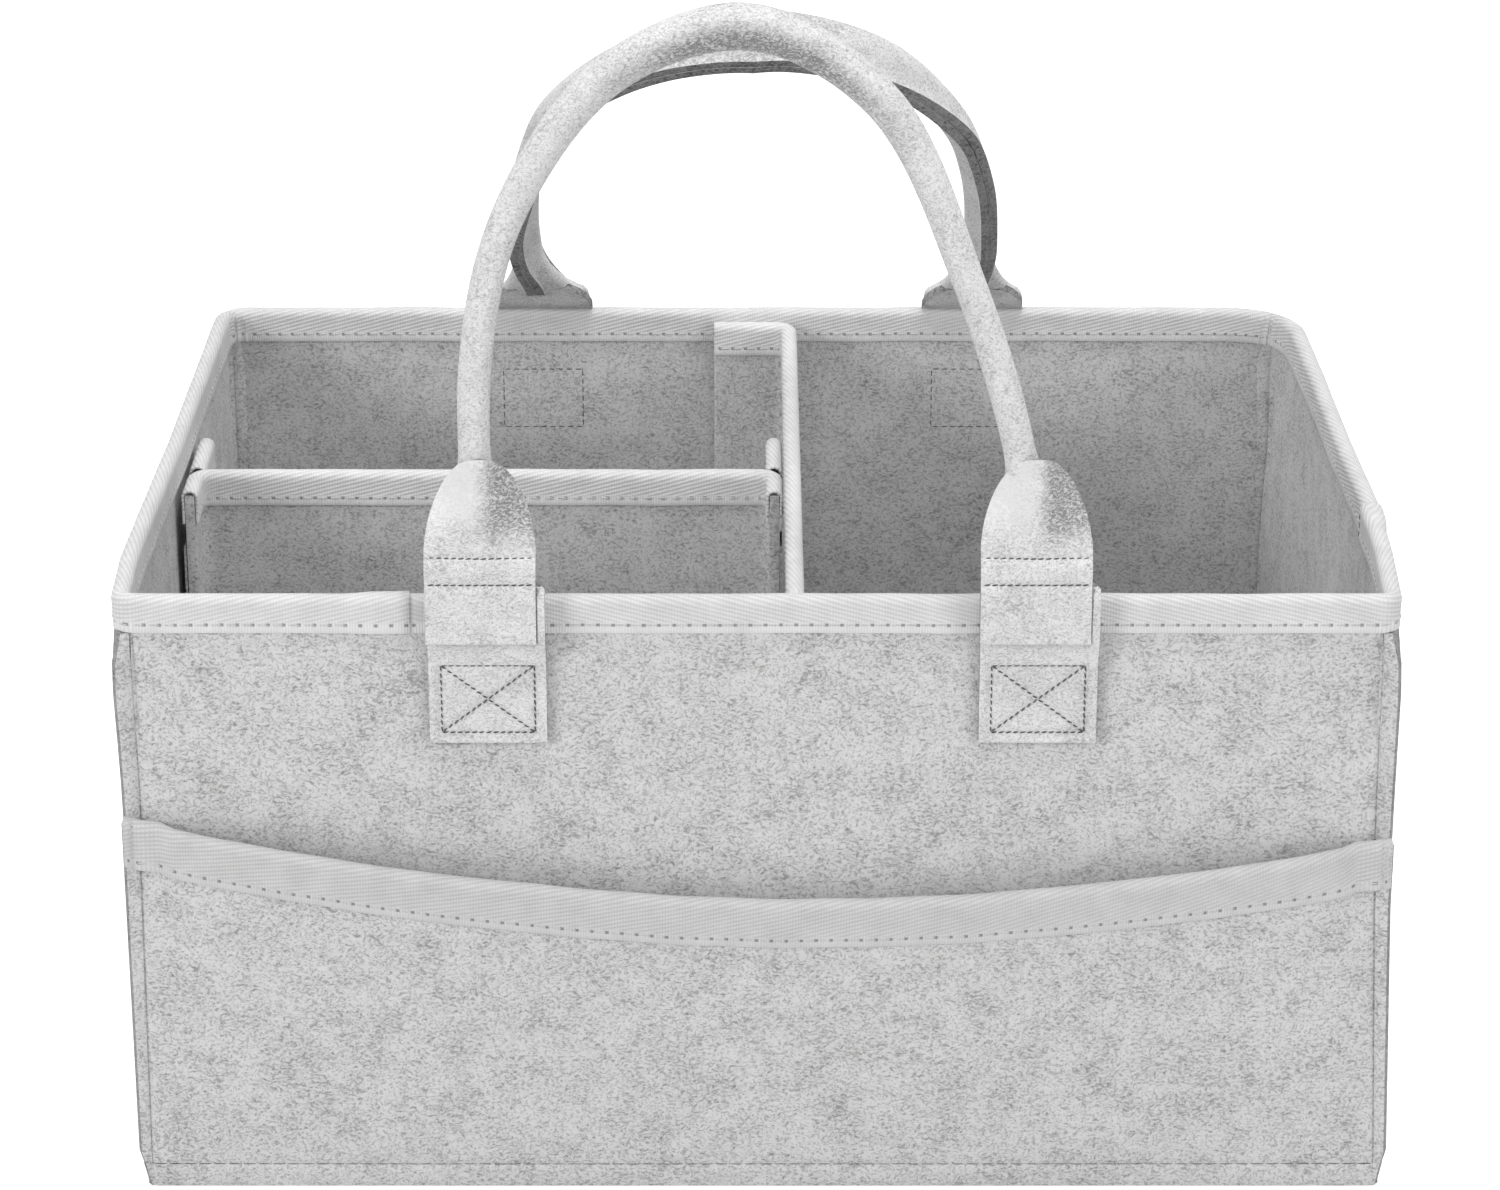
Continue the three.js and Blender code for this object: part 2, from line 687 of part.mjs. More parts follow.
function buildCrossDivider() {
  const leftFace = -(halfX - FELT - skin - FIT - skin);
  const rightFace = MAIN_X - FELT / 2 - skin - FIT - skin;
  const leftX = leftFace + FELT / 2;
  const rightX = rightFace - FELT / 2;
  const line = foldedLine(
    [
      [leftX, CROSS_Y - CROSS_FLANGE],
      [leftX, CROSS_Y],
      [rightX, CROSS_Y],
      [rightX, CROSS_Y - CROSS_FLANGE],
    ],
    FOLD_RADIUS,
  );
  add(caddy, "cross_divider", foldedSheet(line, FELT, dividerFloor, crossTop - skin), felt);
  add(caddy, "cross_divider_binding", tapeAlong(line, crossTop), tape);

  const seatY = CROSS_Y + FELT + FIT;
  const tapeFoot = crossTop - DIVIDER_TAPE_DROP - FIT;
  const flapTapeStart = CROSS_Y + FELT / 2 + skin + FIT;
  for (const [hand, x, inward] of [["left", leftX, 1], ["right", rightX, -1]]) {
    const flapLine = foldedLine(
      [
        [x + inward * CROSS_FLAP_SEAT, seatY],
        [x, seatY],
        [x, seatY + CROSS_FLAP],
      ],
      FOLD_RADIUS,
    );
    const sheet = foldedSheet(flapLine, FELT, dividerFloor, crossTop - skin);
    const seatEnds = [x + inward * (FELT / 2 + skin), x + inward * 2 * CROSS_FLAP_SEAT];
    const seatLow = Math.min(...seatEnds);
    const seatHigh = Math.max(...seatEnds);
    const overSeat = box(seatLow, seatHigh, CROSS_Y, seatY + CROSS_FLAP / 2, tapeFoot, HEIGHT);
    const overBend = box(x - CROSS_FLAP, x + CROSS_FLAP, CROSS_Y, flapTapeStart, tapeFoot, HEIGHT);
    add(caddy, `cross_divider_${hand}_flap`, cut(sheet, overSeat, overBend), felt);
    const tapeLine = [
      [x, seatY + FOLD_RADIUS],
      [x, seatY + CROSS_FLAP],
    ];
    add(caddy, `cross_divider_${hand}_flap_binding`, tapeAlong(tapeLine, crossTop), tape);
    const strip = add(caddy, `cross_divider_${hand}_hook_strip`, hookStrip(HOOK_WIDTH), hooks);
    const face = x - inward * (FELT / 2 + hookStack - HOOK_STRIP / 2);
    strip.position.set(face, CROSS_Y - CROSS_FLANGE + HOOK_WIDTH / 2, 0);
    strip.rotation.z = Math.PI / 2;
  }
}

buildWalls();
buildBase();
buildRimBinding();
buildPockets();
buildAnchors("front", FRONT_HALF_SPAN, 0);
buildAnchors("rear", REAR_HALF_SPAN, Math.PI);
buildHandle("front", FRONT_ARCH, FRONT_HALF_SPAN, FRONT_LEAN_DEG, 0);
buildHandle("rear", REAR_ARCH, REAR_HALF_SPAN, REAR_LEAN_DEG, Math.PI);
buildMainDivider();
buildCrossDivider();

export default caddy;
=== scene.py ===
# %% [markdown]
# A felt caddy for a nursery
# The caddy is sewn from flat goods: 3 mm needle felt and a woven twill tape that binds every free edge.
# So every soft piece below starts as a flat grid, is laid over the form it takes when it is sewn, and
# then gets its thickness. That keeps the order of the workshop: cut, fold, sew.
# The CAD model gives the places. The sizes typed here are those of the goods and of their soft forms.

# %% The frame and the sizes that drive everything
import json
import math

import bpy
import numpy as np
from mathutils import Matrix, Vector, noise


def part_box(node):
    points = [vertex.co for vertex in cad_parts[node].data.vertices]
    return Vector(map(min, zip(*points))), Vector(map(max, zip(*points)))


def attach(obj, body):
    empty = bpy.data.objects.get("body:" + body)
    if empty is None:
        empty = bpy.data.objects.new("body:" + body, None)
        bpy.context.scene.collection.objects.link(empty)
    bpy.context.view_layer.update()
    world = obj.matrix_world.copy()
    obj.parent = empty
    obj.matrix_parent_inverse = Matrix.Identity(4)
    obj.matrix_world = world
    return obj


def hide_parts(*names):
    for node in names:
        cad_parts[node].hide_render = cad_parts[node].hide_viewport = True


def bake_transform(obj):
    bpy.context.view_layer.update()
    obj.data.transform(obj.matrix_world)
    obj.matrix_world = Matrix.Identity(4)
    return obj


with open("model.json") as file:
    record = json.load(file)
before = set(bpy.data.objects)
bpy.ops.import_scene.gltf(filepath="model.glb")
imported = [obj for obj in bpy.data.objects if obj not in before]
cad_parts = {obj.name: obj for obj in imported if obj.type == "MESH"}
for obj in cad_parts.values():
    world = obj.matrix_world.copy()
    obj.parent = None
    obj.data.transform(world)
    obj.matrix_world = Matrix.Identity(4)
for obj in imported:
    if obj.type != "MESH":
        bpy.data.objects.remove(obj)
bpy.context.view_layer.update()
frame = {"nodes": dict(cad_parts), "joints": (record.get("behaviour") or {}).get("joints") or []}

MM = 0.001
FELT = 3 * MM
TAPE = 0.9 * MM
FIT = 0.3 * MM
SKIN = FIT + TAPE
RIM_RADIUS = 5.5 * MM
STITCH_PITCH = 4.5 * MM
ANCHOR_PITCH = 2.1 * MM
FELT_SOFTEN = 0.7 * MM
TAPE_SOFTEN = 0.25 * MM
EDGE_UNDER_TAPE = 2 * MM
SEAM_MARGIN = 2 * MM

rim_low, rim_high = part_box("rim_binding")
HALF_X = rim_high.x - SKIN
HALF_Y = rim_high.y - SKIN
HEIGHT = rim_high.z
RIM_DROP = HEIGHT - rim_low.z
FLANGE_TOP = rim_low.z - FIT

joints = {joint["name"]: joint for joint in frame["joints"]}
HINGE_OUT = -joints["front_handle_swing"]["pos_m"][1]
HINGE_Z = joints["front_handle_swing"]["pos_m"][2]
print("box over the felt:", round(2 * HALF_X, 4), round(2 * HALF_Y, 4), round(HEIGHT, 4))

# %% [markdown]
# The camera
# A long lens stands about one and a half metres away and looks down at about 21 degrees.
# Its place was worked out from the corners of the rim, the feet and the tabs in the photograph.

# %% Camera
CAMERA_PITCH = math.radians(21.215)
CAMERA_PLACE = (-2.5 * MM, -1429.3 * MM, 695.4 * MM)
CAMERA_LENS = 112.85
SENSOR_WIDTH = 36

camera_data = bpy.data.cameras.new("camera")
camera_data.lens = CAMERA_LENS
camera_data.sensor_width = SENSOR_WIDTH
camera = bpy.data.objects.new("camera", camera_data)
camera.location = CAMERA_PLACE
camera.rotation_euler = (math.pi / 2 - CAMERA_PITCH, 0, 0)
bpy.context.scene.collection.objects.link(camera)
bpy.context.scene.camera = camera
bpy.context.scene.view_settings.view_transform = "Standard"
print("camera at", [round(value, 3) for value in camera.location])

# %% [markdown]
# Node graphs written as sums
# A finish is a graph of nodes. Written socket by socket it is hard to read, so a small class wraps a
# socket and lets it stand in a Python sum. Any other node comes from one method, which sets the
# node's settings first and then its inputs.

# %% A socket that can stand in a sum
class Wire:
    def __init__(self, board, socket):
        self.board = board
        self.socket = socket

    def math(self, operation, *values):
        return self.board.node("Math", {"operation": operation}, dict(enumerate(values)))

    def __add__(self, other):
        return self.math("ADD", self, other)

    def __radd__(self, other):
        return self.math("ADD", other, self)

    def __sub__(self, other):
        return self.math("SUBTRACT", self, other)

    def __rsub__(self, other):
        return self.math("SUBTRACT", other, self)

    def __mul__(self, other):
        return self.math("MULTIPLY", self, other)

    def __rmul__(self, other):
        return self.math("MULTIPLY", other, self)

    def __abs__(self):
        return self.math("ABSOLUTE", self)

    def sine(self):
        return self.math("SINE", self)

    def fraction(self):
        return self.math("FRACT", self)

    def smooth(self, low, high):
        """0 below low, 1 above high, and a soft step between. low may be the larger."""
        settings = {"interpolation_type": "SMOOTHSTEP"}
        return self.board.node("MapRange", settings, {0: self, 1: low, 2: high, 3: 0.0, 4: 1.0})


class Board:
    def __init__(self, tree):
        self.tree = tree
        tree.nodes.clear()

    def node(self, kind, settings=None, inputs=None, output=0):
        made = self.tree.nodes.new("ShaderNode" + kind)
        for key, value in (settings or {}).items():
            if key == "stops":
                for stop, (position, grey) in zip(self.ramp_stops(made, len(value)), value):
                    stop.position = position
                    stop.color = (grey, grey, grey, 1)
            else:
                setattr(made, key, value)
        for key, value in (inputs or {}).items():
            if isinstance(value, Wire):
                self.tree.links.new(value.socket, made.inputs[key])
            else:
                made.inputs[key].default_value = value
        return Wire(self, made.outputs[output]) if made.outputs else None

    @staticmethod
    def ramp_stops(ramp_node, count):
        stops = ramp_node.color_ramp.elements
        while len(stops) < count:
            stops.new(0.5)
        return stops

    def noise(self, place, scale, detail, roughness=0.55, output=0):
        inputs = {"Vector": place, "Scale": scale, "Detail": detail, "Roughness": roughness}
        return self.node("TexNoise", None, inputs, output)

    def mix(self, share, first, second, how="MIX"):
        settings = {"data_type": "RGBA", "blend_type": how}
        return self.node("Mix", settings, {0: share, 6: first, 7: second}, 2)

    def bump(self, height, distance, strength=1.0):
        return self.node("Bump", None, {"Height": height, "Distance": distance, "Strength": strength})


def new_board(name):
    material = bpy.data.materials.new(name)
    material.use_nodes = True
    return Board(material.node_tree), material


def cloth_output(board, colour, normal, roughness, sheen):
    shader = board.node(
        "BsdfPrincipled",
        None,
        {
            "Base Color": colour,
            "Normal": normal,
            "Roughness": roughness,
            "Sheen Weight": sheen,
            "Sheen Roughness": 0.5,
            "Specular IOR Level": 0.2,
        },
    )
    board.node("OutputMaterial", None, {"Surface": shader})


def grey(value):
    return (value, value, value, 1)


def lerp(a, b, share):
    return a + (b - a) * share


def clamp(value):
    return min(max(value, 0.0), 1.0)


# %% [markdown]
# Needle felt
# Needle felt is a mat of grey and white fibres. Seen from half a metre it is a light ground with short
# dark flecks, a millimetre or two long and mostly level, that gather in loose clouds. One noise, pressed
# flat so that its grains lie level, gives the flecks, and a slow one moves the value at which they start.
# Single fibres are the thin lines where another noise crosses its middle value.

# %% Felt finishes
FLECK_SQUASH = (1.0, 1.0, 2.2)
BEND_SCALE, BEND_REACH = 240.0, 3.5 * MM
CLOUD_SCALE, CLOUD_PULL = 95.0, 0.28


def felt_finish(name, dark, light, fleck=0.7, relief=0.35 * MM, fleck_scale=640.0):
    board, material = new_board(name)
    place = board.node("TexCoord", output=3)
    bend = board.noise(place, BEND_SCALE, 2.0, output=1)
    offset = board.node("VectorMath", {"operation": "SCALE"}, {0: bend, "Scale": BEND_REACH})
    bent = board.node("VectorMath", {"operation": "ADD"}, {0: place, 1: offset})
    level = board.node("VectorMath", {"operation": "MULTIPLY"}, {0: bent, 1: FLECK_SQUASH})
    clouds = board.noise(place, CLOUD_SCALE, 3.0, 0.6)
    grain = board.noise(level, fleck_scale, 3.0, 0.7)
    fine = board.noise(bent, 1.9 * fleck_scale, 1.0)
    flecks = (grain + (clouds - 0.5) * CLOUD_PULL).smooth(0.53, 0.3)
    dots = fine.smooth(0.5, 0.32) * 0.6
    fibre = abs(board.noise(level, 0.6 * fleck_scale, 1.0) - 0.48).smooth(0.02, 0.0)
    ground = board.node("ValToRGB", {"stops": [(0.35, light * 0.94), (0.65, light)]}, {0: clouds})
    colour = board.mix(flecks * fleck, ground, grey(dark))
    colour = board.mix(dots * fleck, colour, grey(dark))
    colour = board.mix(fibre * 0.4, colour, grey(min(1.0, light * 1.12)))
    # Painted shade and painted highlight: a point attribute darkens the felt with speckled shade above zero
    # and lightens it below zero.
    painted_light_layer = board.node("Attribute", {"attribute_name": "wear"}, output=2)
    colour = board.mix(painted_light_layer * (grain.smooth(0.6, 0.42) * 0.7 + 0.2), colour, grey(dark))
    colour = board.mix(painted_light_layer * -1.0, colour, grey(light))
    height = grain * 0.7 + fine * 0.3 + fibre * 0.2
    cloth_output(board, colour, board.bump(height, relief, 0.8), 0.95, 0.1)
    return material


felt = felt_finish("grey_felt", 0.19, 0.70, fleck=0.75)
felt_edge = felt_finish("grey_felt_cut_edge", 0.08, 0.40, fleck=0.9, relief=0.7 * MM)
pale_felt = felt_finish("pale_felt", 0.27, 0.82, fleck=0.65, relief=0.45 * MM, fleck_scale=860.0)
pale_edge = felt_finish("pale_felt_cut_edge", 0.06, 0.34, fleck=0.9, relief=0.7 * MM)
print("felt finishes:", felt.name, felt_edge.name, pale_felt.name, pale_edge.name)

# %% [markdown]
# Twill tape
# The binding is a cotton tape with a shallow twill: ribs that climb along the tape at about 15 degrees,
# each broken into short floats. The edges are woven plain. The UV map of each tape is in metres, along
# and across it, so the ribs and the needle holes keep their size on every piece.

# %% Tape and thread finishes
TWILL_PITCH = 1.35 * MM
TWILL_ANGLE = math.radians(15)
FLOAT_PITCH = 0.85 * MM
SELVEDGE, SELVEDGE_BLUR = 3.4 * MM, 0.4 * MM
SEAM_IN = 2.6 * MM


def tape_finish(name, tone, width, back_seam=True):
    board, material = new_board(name)
    cloth = board.node("SeparateXYZ", None, {0: board.node("TexCoord", output=2)})
    along = cloth
    across = Wire(board, cloth.socket.node.outputs[1])
    rise = across - along * math.tan(TWILL_ANGLE)
    rib = (rise * (2 * math.pi / TWILL_PITCH)).sine() * 0.5 + 0.5
    floats = (along * (2 * math.pi / FLOAT_PITCH)).sine() * 0.5 + 0.5
    plain = floats * 0.5 + 0.4
    far_edge = width - SELVEDGE
    inside = across.smooth(SELVEDGE - SELVEDGE_BLUR, SELVEDGE + SELVEDGE_BLUR)
    inside = inside * across.smooth(far_edge + SELVEDGE_BLUR, far_edge - SELVEDGE_BLUR)
    weave = (rib * 0.45 + rib * floats * 0.55) * inside + plain * (1 - inside)
    hole_along = abs((along * (1 / STITCH_PITCH)).fraction() - 0.5) * STITCH_PITCH
    row = abs(across - SEAM_IN)
    if back_seam:
        row = row.math("MINIMUM", row, abs(across - (width - SEAM_IN)))
    hole = row.math("MAXIMUM", hole_along * 0.8, row).smooth(0.6 * MM, 0.3 * MM)
    groove = row.smooth(0.7 * MM, 0.2 * MM)
    soil = board.noise(board.node("TexCoord", output=3), 120.0, 3.0)
    shade = weave * 0.5 + soil * 0.5
    base = board.node("ValToRGB", {"stops": [(0.2, tone * 0.74), (0.72, tone)]}, {0: shade})
    # The needle holes are painted shade: the colour darkens where the thread dimples the tape.
    colour = board.mix(hole * 0.75, base, grey(tone * 0.22))
    height = weave * 0.6 - groove * 0.15 - hole * 0.6
    cloth_output(board, colour, board.bump(height, 0.36 * MM, 0.85), 0.85, 0.1)
    return material


def thread_finish(name, tone):
    board, material = new_board(name)
    place = board.node("TexCoord", output=3)
    twist = board.noise(place, 2600.0, 2.0)
    colour = board.node("ValToRGB", {"stops": [(0.3, tone * 0.6), (0.7, tone)]}, {0: twist})
    cloth_output(board, colour, board.bump(twist, 0.15 * MM), 0.75, 0.05)
    return material


pale_thread = thread_finish("pale_thread", 0.72)
grey_thread = thread_finish("grey_thread", 0.14)
print("threads:", pale_thread.name, grey_thread.name)

# %% [markdown]
# Cutting, laying and thickening
# These helpers are the workshop. `lay` adds a flat grid and moves each of its points to its place on the
# form, and `thicken` gives the sheet its thickness, with softened cut edges. The rim of a thickened
# sheet takes the second material, because cut felt looks darker than its face. `dress` then hides the
# nodes that the piece stands for and hangs it on its body. A piece that crosses a fold has no single body,
# and is given none.

# %% Helpers for sheet goods
BEVEL_FROM = math.radians(55)
SMOOTH_BELOW = math.radians(48)
cuts = []


def pick(piece):
    bpy.ops.object.select_all(action="DESELECT")
    piece.select_set(True)
    bpy.context.view_layer.objects.active = piece


def lay(name, columns, rows, place, cloth=None):
    """place(i, j) is the form's point at a column and row; cloth(i, j) is its UV in metres."""
    bpy.ops.object.select_all(action="DESELECT")
    bpy.ops.mesh.primitive_grid_add(x_subdivisions=columns, y_subdivisions=rows, size=1)
    piece = bpy.context.object
    piece.name = piece.data.name = name
    uv = {}
    for vertex in piece.data.vertices:
        i = round((vertex.co.x + 0.5) * columns)
        j = round((vertex.co.y + 0.5) * rows)
        vertex.co = place(i, j)
        if cloth:
            uv[vertex.index] = cloth(i, j)
    if cloth:
        layer = piece.data.uv_layers.active.data
        for loop in piece.data.loops:
            layer[loop.index].uv = uv[loop.vertex_index]
    piece.data.update()
    return piece


def cut_away(piece, unwanted):
    """Deletes the faces for which unwanted(face) is true."""
    pick(piece)
    bpy.ops.object.mode_set(mode="EDIT")
    bpy.ops.mesh.select_mode(type="FACE")
    bpy.ops.mesh.select_all(action="DESELECT")
    bpy.ops.object.mode_set(mode="OBJECT")
    for face in piece.data.polygons:
        face.select = unwanted(face)
    bpy.ops.object.mode_set(mode="EDIT")
    bpy.ops.mesh.delete(type="FACE")
    bpy.ops.object.mode_set(mode="OBJECT")


def wear(piece, amounts):
    """Stores painted light at each point, for its finish: painted shade above zero, a painted highlight
    below.
    """
    painted_light_layer = piece.data.attributes.new("wear", "FLOAT", "POINT")
    painted_light_layer.data.foreach_set("value", np.array(amounts, float))


def use(piece, kind, **settings):
    modifier = piece.modifiers.new(kind.title(), kind)
    for key, value in settings.items():
        setattr(modifier, key, value)
    pick(piece)
    bpy.ops.object.modifier_apply(modifier=modifier.name)


def thicken(piece, thickness, face, edge, soften, steps=2, offset=0.0, even=True):
    """Makes a sheet solid and rounds its cut edges. Returns the area that the sheet had."""
    area = sum(polygon.area for polygon in piece.data.polygons)
    piece.data.materials.append(face)
    piece.data.materials.append(edge)
    use(
        piece,
        "SOLIDIFY",
        thickness=thickness,
        offset=offset,
        use_even_offset=even,
        thickness_clamp=0.0,
        material_offset_rim=1,
    )
    use(piece, "BEVEL", width=soften, segments=steps, limit_method="ANGLE", angle_limit=BEVEL_FROM)
    bpy.ops.object.shade_smooth_by_angle(angle=SMOOTH_BELOW)
    return area


def dress(piece, slot, body, *nodes):
    """Hides the nodes that the piece stands for and hangs it on the body that carries it. slot is not used.
    """
    if nodes:
        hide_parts(*nodes)
    if body:
        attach(piece, body)


def cut_from(piece, width, length, area):
    area = min(area, width * length)
    cuts.append((piece.name, round(width / MM), round(length / MM), round(area * 1e4)))


def run_length(points):
    points = np.array(points)
    return np.concatenate([[0], np.cumsum(np.linalg.norm(np.diff(points, axis=0), axis=1))])


def turned(turn, x, y, z):
    c, s = math.cos(turn), math.sin(turn)
    return Vector((c * x - s * y, s * x + c * y, z))


def ease(value, low, high):
    """0 at low, 1 at high, and a soft step between."""
    share = clamp((value - low) / (high - low))
    return share * share * (3 - 2 * share)


def bell(value, middle, width):
    """1 at the middle, falling off to both sides over that width."""
    return math.exp(-(((value - middle) / width) ** 2))


# %% [markdown]
# Stitches
# A stitch is a short bead of thread. One low bead is modelled and copied along each seam, turned to
# follow it, and all the copies of a seam become one mesh.

# %% Helpers for seams
BEAD_FLATNESS = 0.8
MARK_STEP = 0.2 * MM


def bead_shape(length, thickness):
    bpy.ops.object.select_all(action="DESELECT")
    bpy.ops.mesh.primitive_uv_sphere_add(segments=6, ring_count=5, radius=0.5)
    bead = bpy.context.object
    pick(bead)
    bpy.ops.object.mode_set(mode="EDIT")
    bpy.ops.mesh.select_all(action="SELECT")
    bpy.ops.transform.resize(value=(thickness, thickness * BEAD_FLATNESS, length))
    bpy.ops.object.mode_set(mode="OBJECT")
    points = np.array([vertex.co for vertex in bead.data.vertices])
    faces = [list(face.vertices) for face in bead.data.polygons]
    bpy.data.objects.remove(bead)
    return points, faces


def sew(name, marks, finish, slot, body, length=3.4 * MM, thickness=0.6 * MM, slant=0.0):
    """marks are (place, direction along the seam, direction out of the cloth); slant turns each bead."""
    points, faces = bead_shape(length, thickness)
    all_points, all_faces = [], []
    for place, along, out in marks:
        along = np.array(along) / np.linalg.norm(along)
        out = np.array(out) - along * np.dot(out, along)
        out = out / np.linalg.norm(out)
        side = np.cross(out, along)
        along = along * math.cos(slant) + side * math.sin(slant)
        axes = np.array([np.cross(out, along), out, along])
        start = len(all_points)
        all_points.extend(np.array(place) + points @ axes)
        all_faces.extend([[start + index for index in face] for face in faces])
    mesh = bpy.data.meshes.new(name)
    mesh.from_pydata([tuple(point) for point in all_points], [], all_faces)
    mesh.materials.append(finish)
    piece = bpy.data.objects.new(name, mesh)
    bpy.context.scene.collection.objects.link(piece)
    pick(piece)
    bpy.ops.object.shade_smooth()
    dress(piece, slot, body)
    return piece


def marks_along(points, outs, pitch=STITCH_PITCH):
    """Evenly spaced stitch marks along a line of points, each point with its own outward direction."""
    points, outs = np.array(points), np.array(outs)
    length = run_length(points)
    count = max(1, int(length[-1] / pitch))
    places = (np.arange(count) + 0.5) * length[-1] / count

    def along(values, where):
        return np.stack([np.interp(where, length, values[:, k]) for k in range(3)], axis=1)

    ahead, behind = along(points, places + MARK_STEP), along(points, places - MARK_STEP)
    return list(zip(along(points, places), ahead - behind, along(outs, places)))


# %% [markdown]
# The four walls
# At each corner the end of the short wall is turned out and lies behind the end of the long wall. One
# row of stitches holds both, so a thin fin with two cut edges stands out beyond a pressed groove. At the
# rim the fins stop, and the corner is rounded under the tape. A wall bows out a little between its seams.

# %% Walls
WALL_COLUMNS = 48
FIN_FOOT_HEIGHT = 12 * MM
FIN_FOOT_SHARE = 0.15
FIN_TOP_RUN, FIN_TOP_SHARE = 14 * MM, 0.55
FIN_ROOT_SHARE, FIN_ROOT_LIFT = 0.3, 0.2 * MM
FIN_ANGLE = math.radians(20)
FIN_TIP_OUT = 1.6 * MM
GROOVE_TOP_IN = 4.3 * MM
GROOVE_SPLAY = 2.9 * MM
GROOVE_DEPTH = 1.7 * MM
GROOVE_SHARES = (1.0, 0.4, 0.0)
GROOVE_RUNS = (0, 0.8 * MM, 2.0 * MM)
SHORT_SIDE_RUNS = (0, 0, 0, 0.8 * MM, 2.4 * MM)
WALL_TOP = HEIGHT - EDGE_UNDER_TAPE
LONG_BOW = 1.2 * MM
SHORT_BOW = 0.3 * MM
CORNER_RANKS = 5


def seam_corner(rank, z, end_in):
    """One point of a sewn corner: (place from the box's corner, distance out of the sheet).

    Rank 0 is the cut edge, 1 and 2 are the fin's root and the seam, 3 and 4 lead back to the flat.
    """
    length = end_in + FIN_TIP_OUT
    foot = lerp(FIN_FOOT_SHARE, 1.0, min(z / FIN_FOOT_HEIGHT, 1.0))
    foot *= lerp(1.0, FIN_TOP_SHARE, ease(z, FLANGE_TOP - FIN_TOP_RUN, FLANGE_TOP))
    if rank == 0:
        return length * foot - end_in, length * foot * math.tan(FIN_ANGLE)
    if rank == 1:
        return FIN_ROOT_SHARE * length * foot - end_in, FIN_ROOT_LIFT * foot
    depth = GROOVE_DEPTH * foot
    return -end_in - GROOVE_RUNS[rank - 2], -GROOVE_SHARES[rank - 2] * depth


def groove_in(z):
    """Distance from the box's corner to the seam on a long wall: the box is a little wider at its foot."""
    return GROOVE_TOP_IN - GROOVE_SPLAY * (1 - z / HEIGHT)


def wall_bow(x, z, half_length, bow):
    share = min(abs(x) / half_length, 1.0)
    return bow * (1 - share * share) * math.sin(math.pi * clamp(z / HEIGHT))


def wall_heights():
    foot = [FIN_FOOT_HEIGHT * share for share in (0, 0.34, 0.67)]
    face = list(np.linspace(FIN_FOOT_HEIGHT, FLANGE_TOP, 18))
    return [*foot, *face, FLANGE_TOP + 0.5 * MM, WALL_TOP]


def make_wall(name, half_length, distance, turn, bow, on_long_side):
    mid = FELT / 2
    straight = half_length - RIM_RADIUS
    last = WALL_COLUMNS
    runs = np.linspace(-straight, straight, last + 1 - 2 * CORNER_RANKS)
    arc_radius = RIM_RADIUS - mid
    heights = wall_heights()
    flange_rows = len(heights) - 2

    def place(i, j):
        z = heights[j]
        side = -1 if i < last / 2 else 1
        rank = min(i, last - i)
        out = -mid
        if rank >= CORNER_RANKS:
            x = runs[i - CORNER_RANKS]
        elif j >= flange_rows:
            angle = math.pi / 4 * min(1.0, (CORNER_RANKS - rank) / 3)
            x = side * (straight + arc_radius * math.sin(angle))
            out = arc_radius * math.cos(angle) - RIM_RADIUS
        elif on_long_side:
            beyond, lifted = seam_corner(rank, z, groove_in(z))
            x = side * (half_length + beyond)
            out += lifted
        else:
            reach = seam_corner(rank, z, mid)[0] + mid if rank < 2 else 0.0
            root = half_length - FELT - mid - SHORT_SIDE_RUNS[rank]
            x = side * (root + reach * math.tan(FIN_ANGLE))
            out = max(reach - mid, out)
        out += wall_bow(x, z, half_length, bow)
        return turned(turn, x, -distance - out, z)

    wall = lay(name, last, len(heights) - 1, place)
    row = last + 1

    def above_fin(face):
        columns = [index % row for index in face.vertices]
        rows = [index // row for index in face.vertices]
        return (min(columns) < 2 or max(columns) > last - 2) and max(rows) >= flange_rows

    cut_away(wall, above_fin)
    area = thicken(wall, FELT, felt, felt_edge, FELT_SOFTEN, even=False)
    for vertex in wall.data.vertices:
        x, y, z = turned(-turn, *vertex.co)
        if on_long_side:
            y = min(y, -distance + FELT)
        vertex.co = turned(turn, x, y, max(z, 0.0))
    dress(wall, "felt", "caddy", name.replace("_felt", ""))
    width = 2 * (half_length + SEAM_MARGIN)
    cut_from(wall, width, WALL_TOP, area)
    return wall


walls = [
    make_wall("front_panel_felt", HALF_X, HALF_Y, 0, LONG_BOW, True),
    make_wall("right_side_panel_felt", HALF_Y, HALF_X, math.pi / 2, SHORT_BOW, False),
    make_wall("back_panel_felt", HALF_X, HALF_Y, math.pi, LONG_BOW, True),
    make_wall("left_side_panel_felt", HALF_Y, HALF_X, -math.pi / 2, SHORT_BOW, False),
]
print("walls:", [len(wall.data.polygons) for wall in walls])

# %% [markdown]
# The base
# The base is a rectangle whose margin is turned down inside the walls and sewn through them. A box
# without its underside, given the felt's thickness from the outside in, is exactly that.

# %% Base
BASE_SOFTEN = 1.0 * MM

base_low, base_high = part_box("base_panel")
bpy.ops.object.select_all(action="DESELECT")
bpy.ops.mesh.primitive_cube_add(size=1)
base = bpy.context.object
base.name = base.data.name = "base_panel_felt"
bpy.ops.object.mode_set(mode="EDIT")
bpy.ops.mesh.select_all(action="SELECT")
bpy.ops.transform.resize(value=(base_high - base_low))
bpy.ops.transform.translate(value=(base_low + base_high) / 2)
bpy.ops.object.mode_set(mode="OBJECT")
cut_away(base, lambda face: face.normal.z < -0.9)
base_area = thicken(base, FELT, felt, felt_edge, BASE_SOFTEN, offset=-1.0)
dress(base, "felt", "caddy", "base_panel")
base_size = base_high - base_low
cut_from(base, base_size.x + 2 * base_size.z, base_size.y + 2 * base_size.z, base_area)
print("base:", [round(value, 4) for value in base_size])

# %% [markdown]
# Tape along an edge
# A binding is a flat tape folded over an edge: down the outside, over a round crest, down the inside.
# The same maker serves the rim and the dividers. It walks along a plan line, and each column of the
# tape's grid is the folded section at one place on that line.

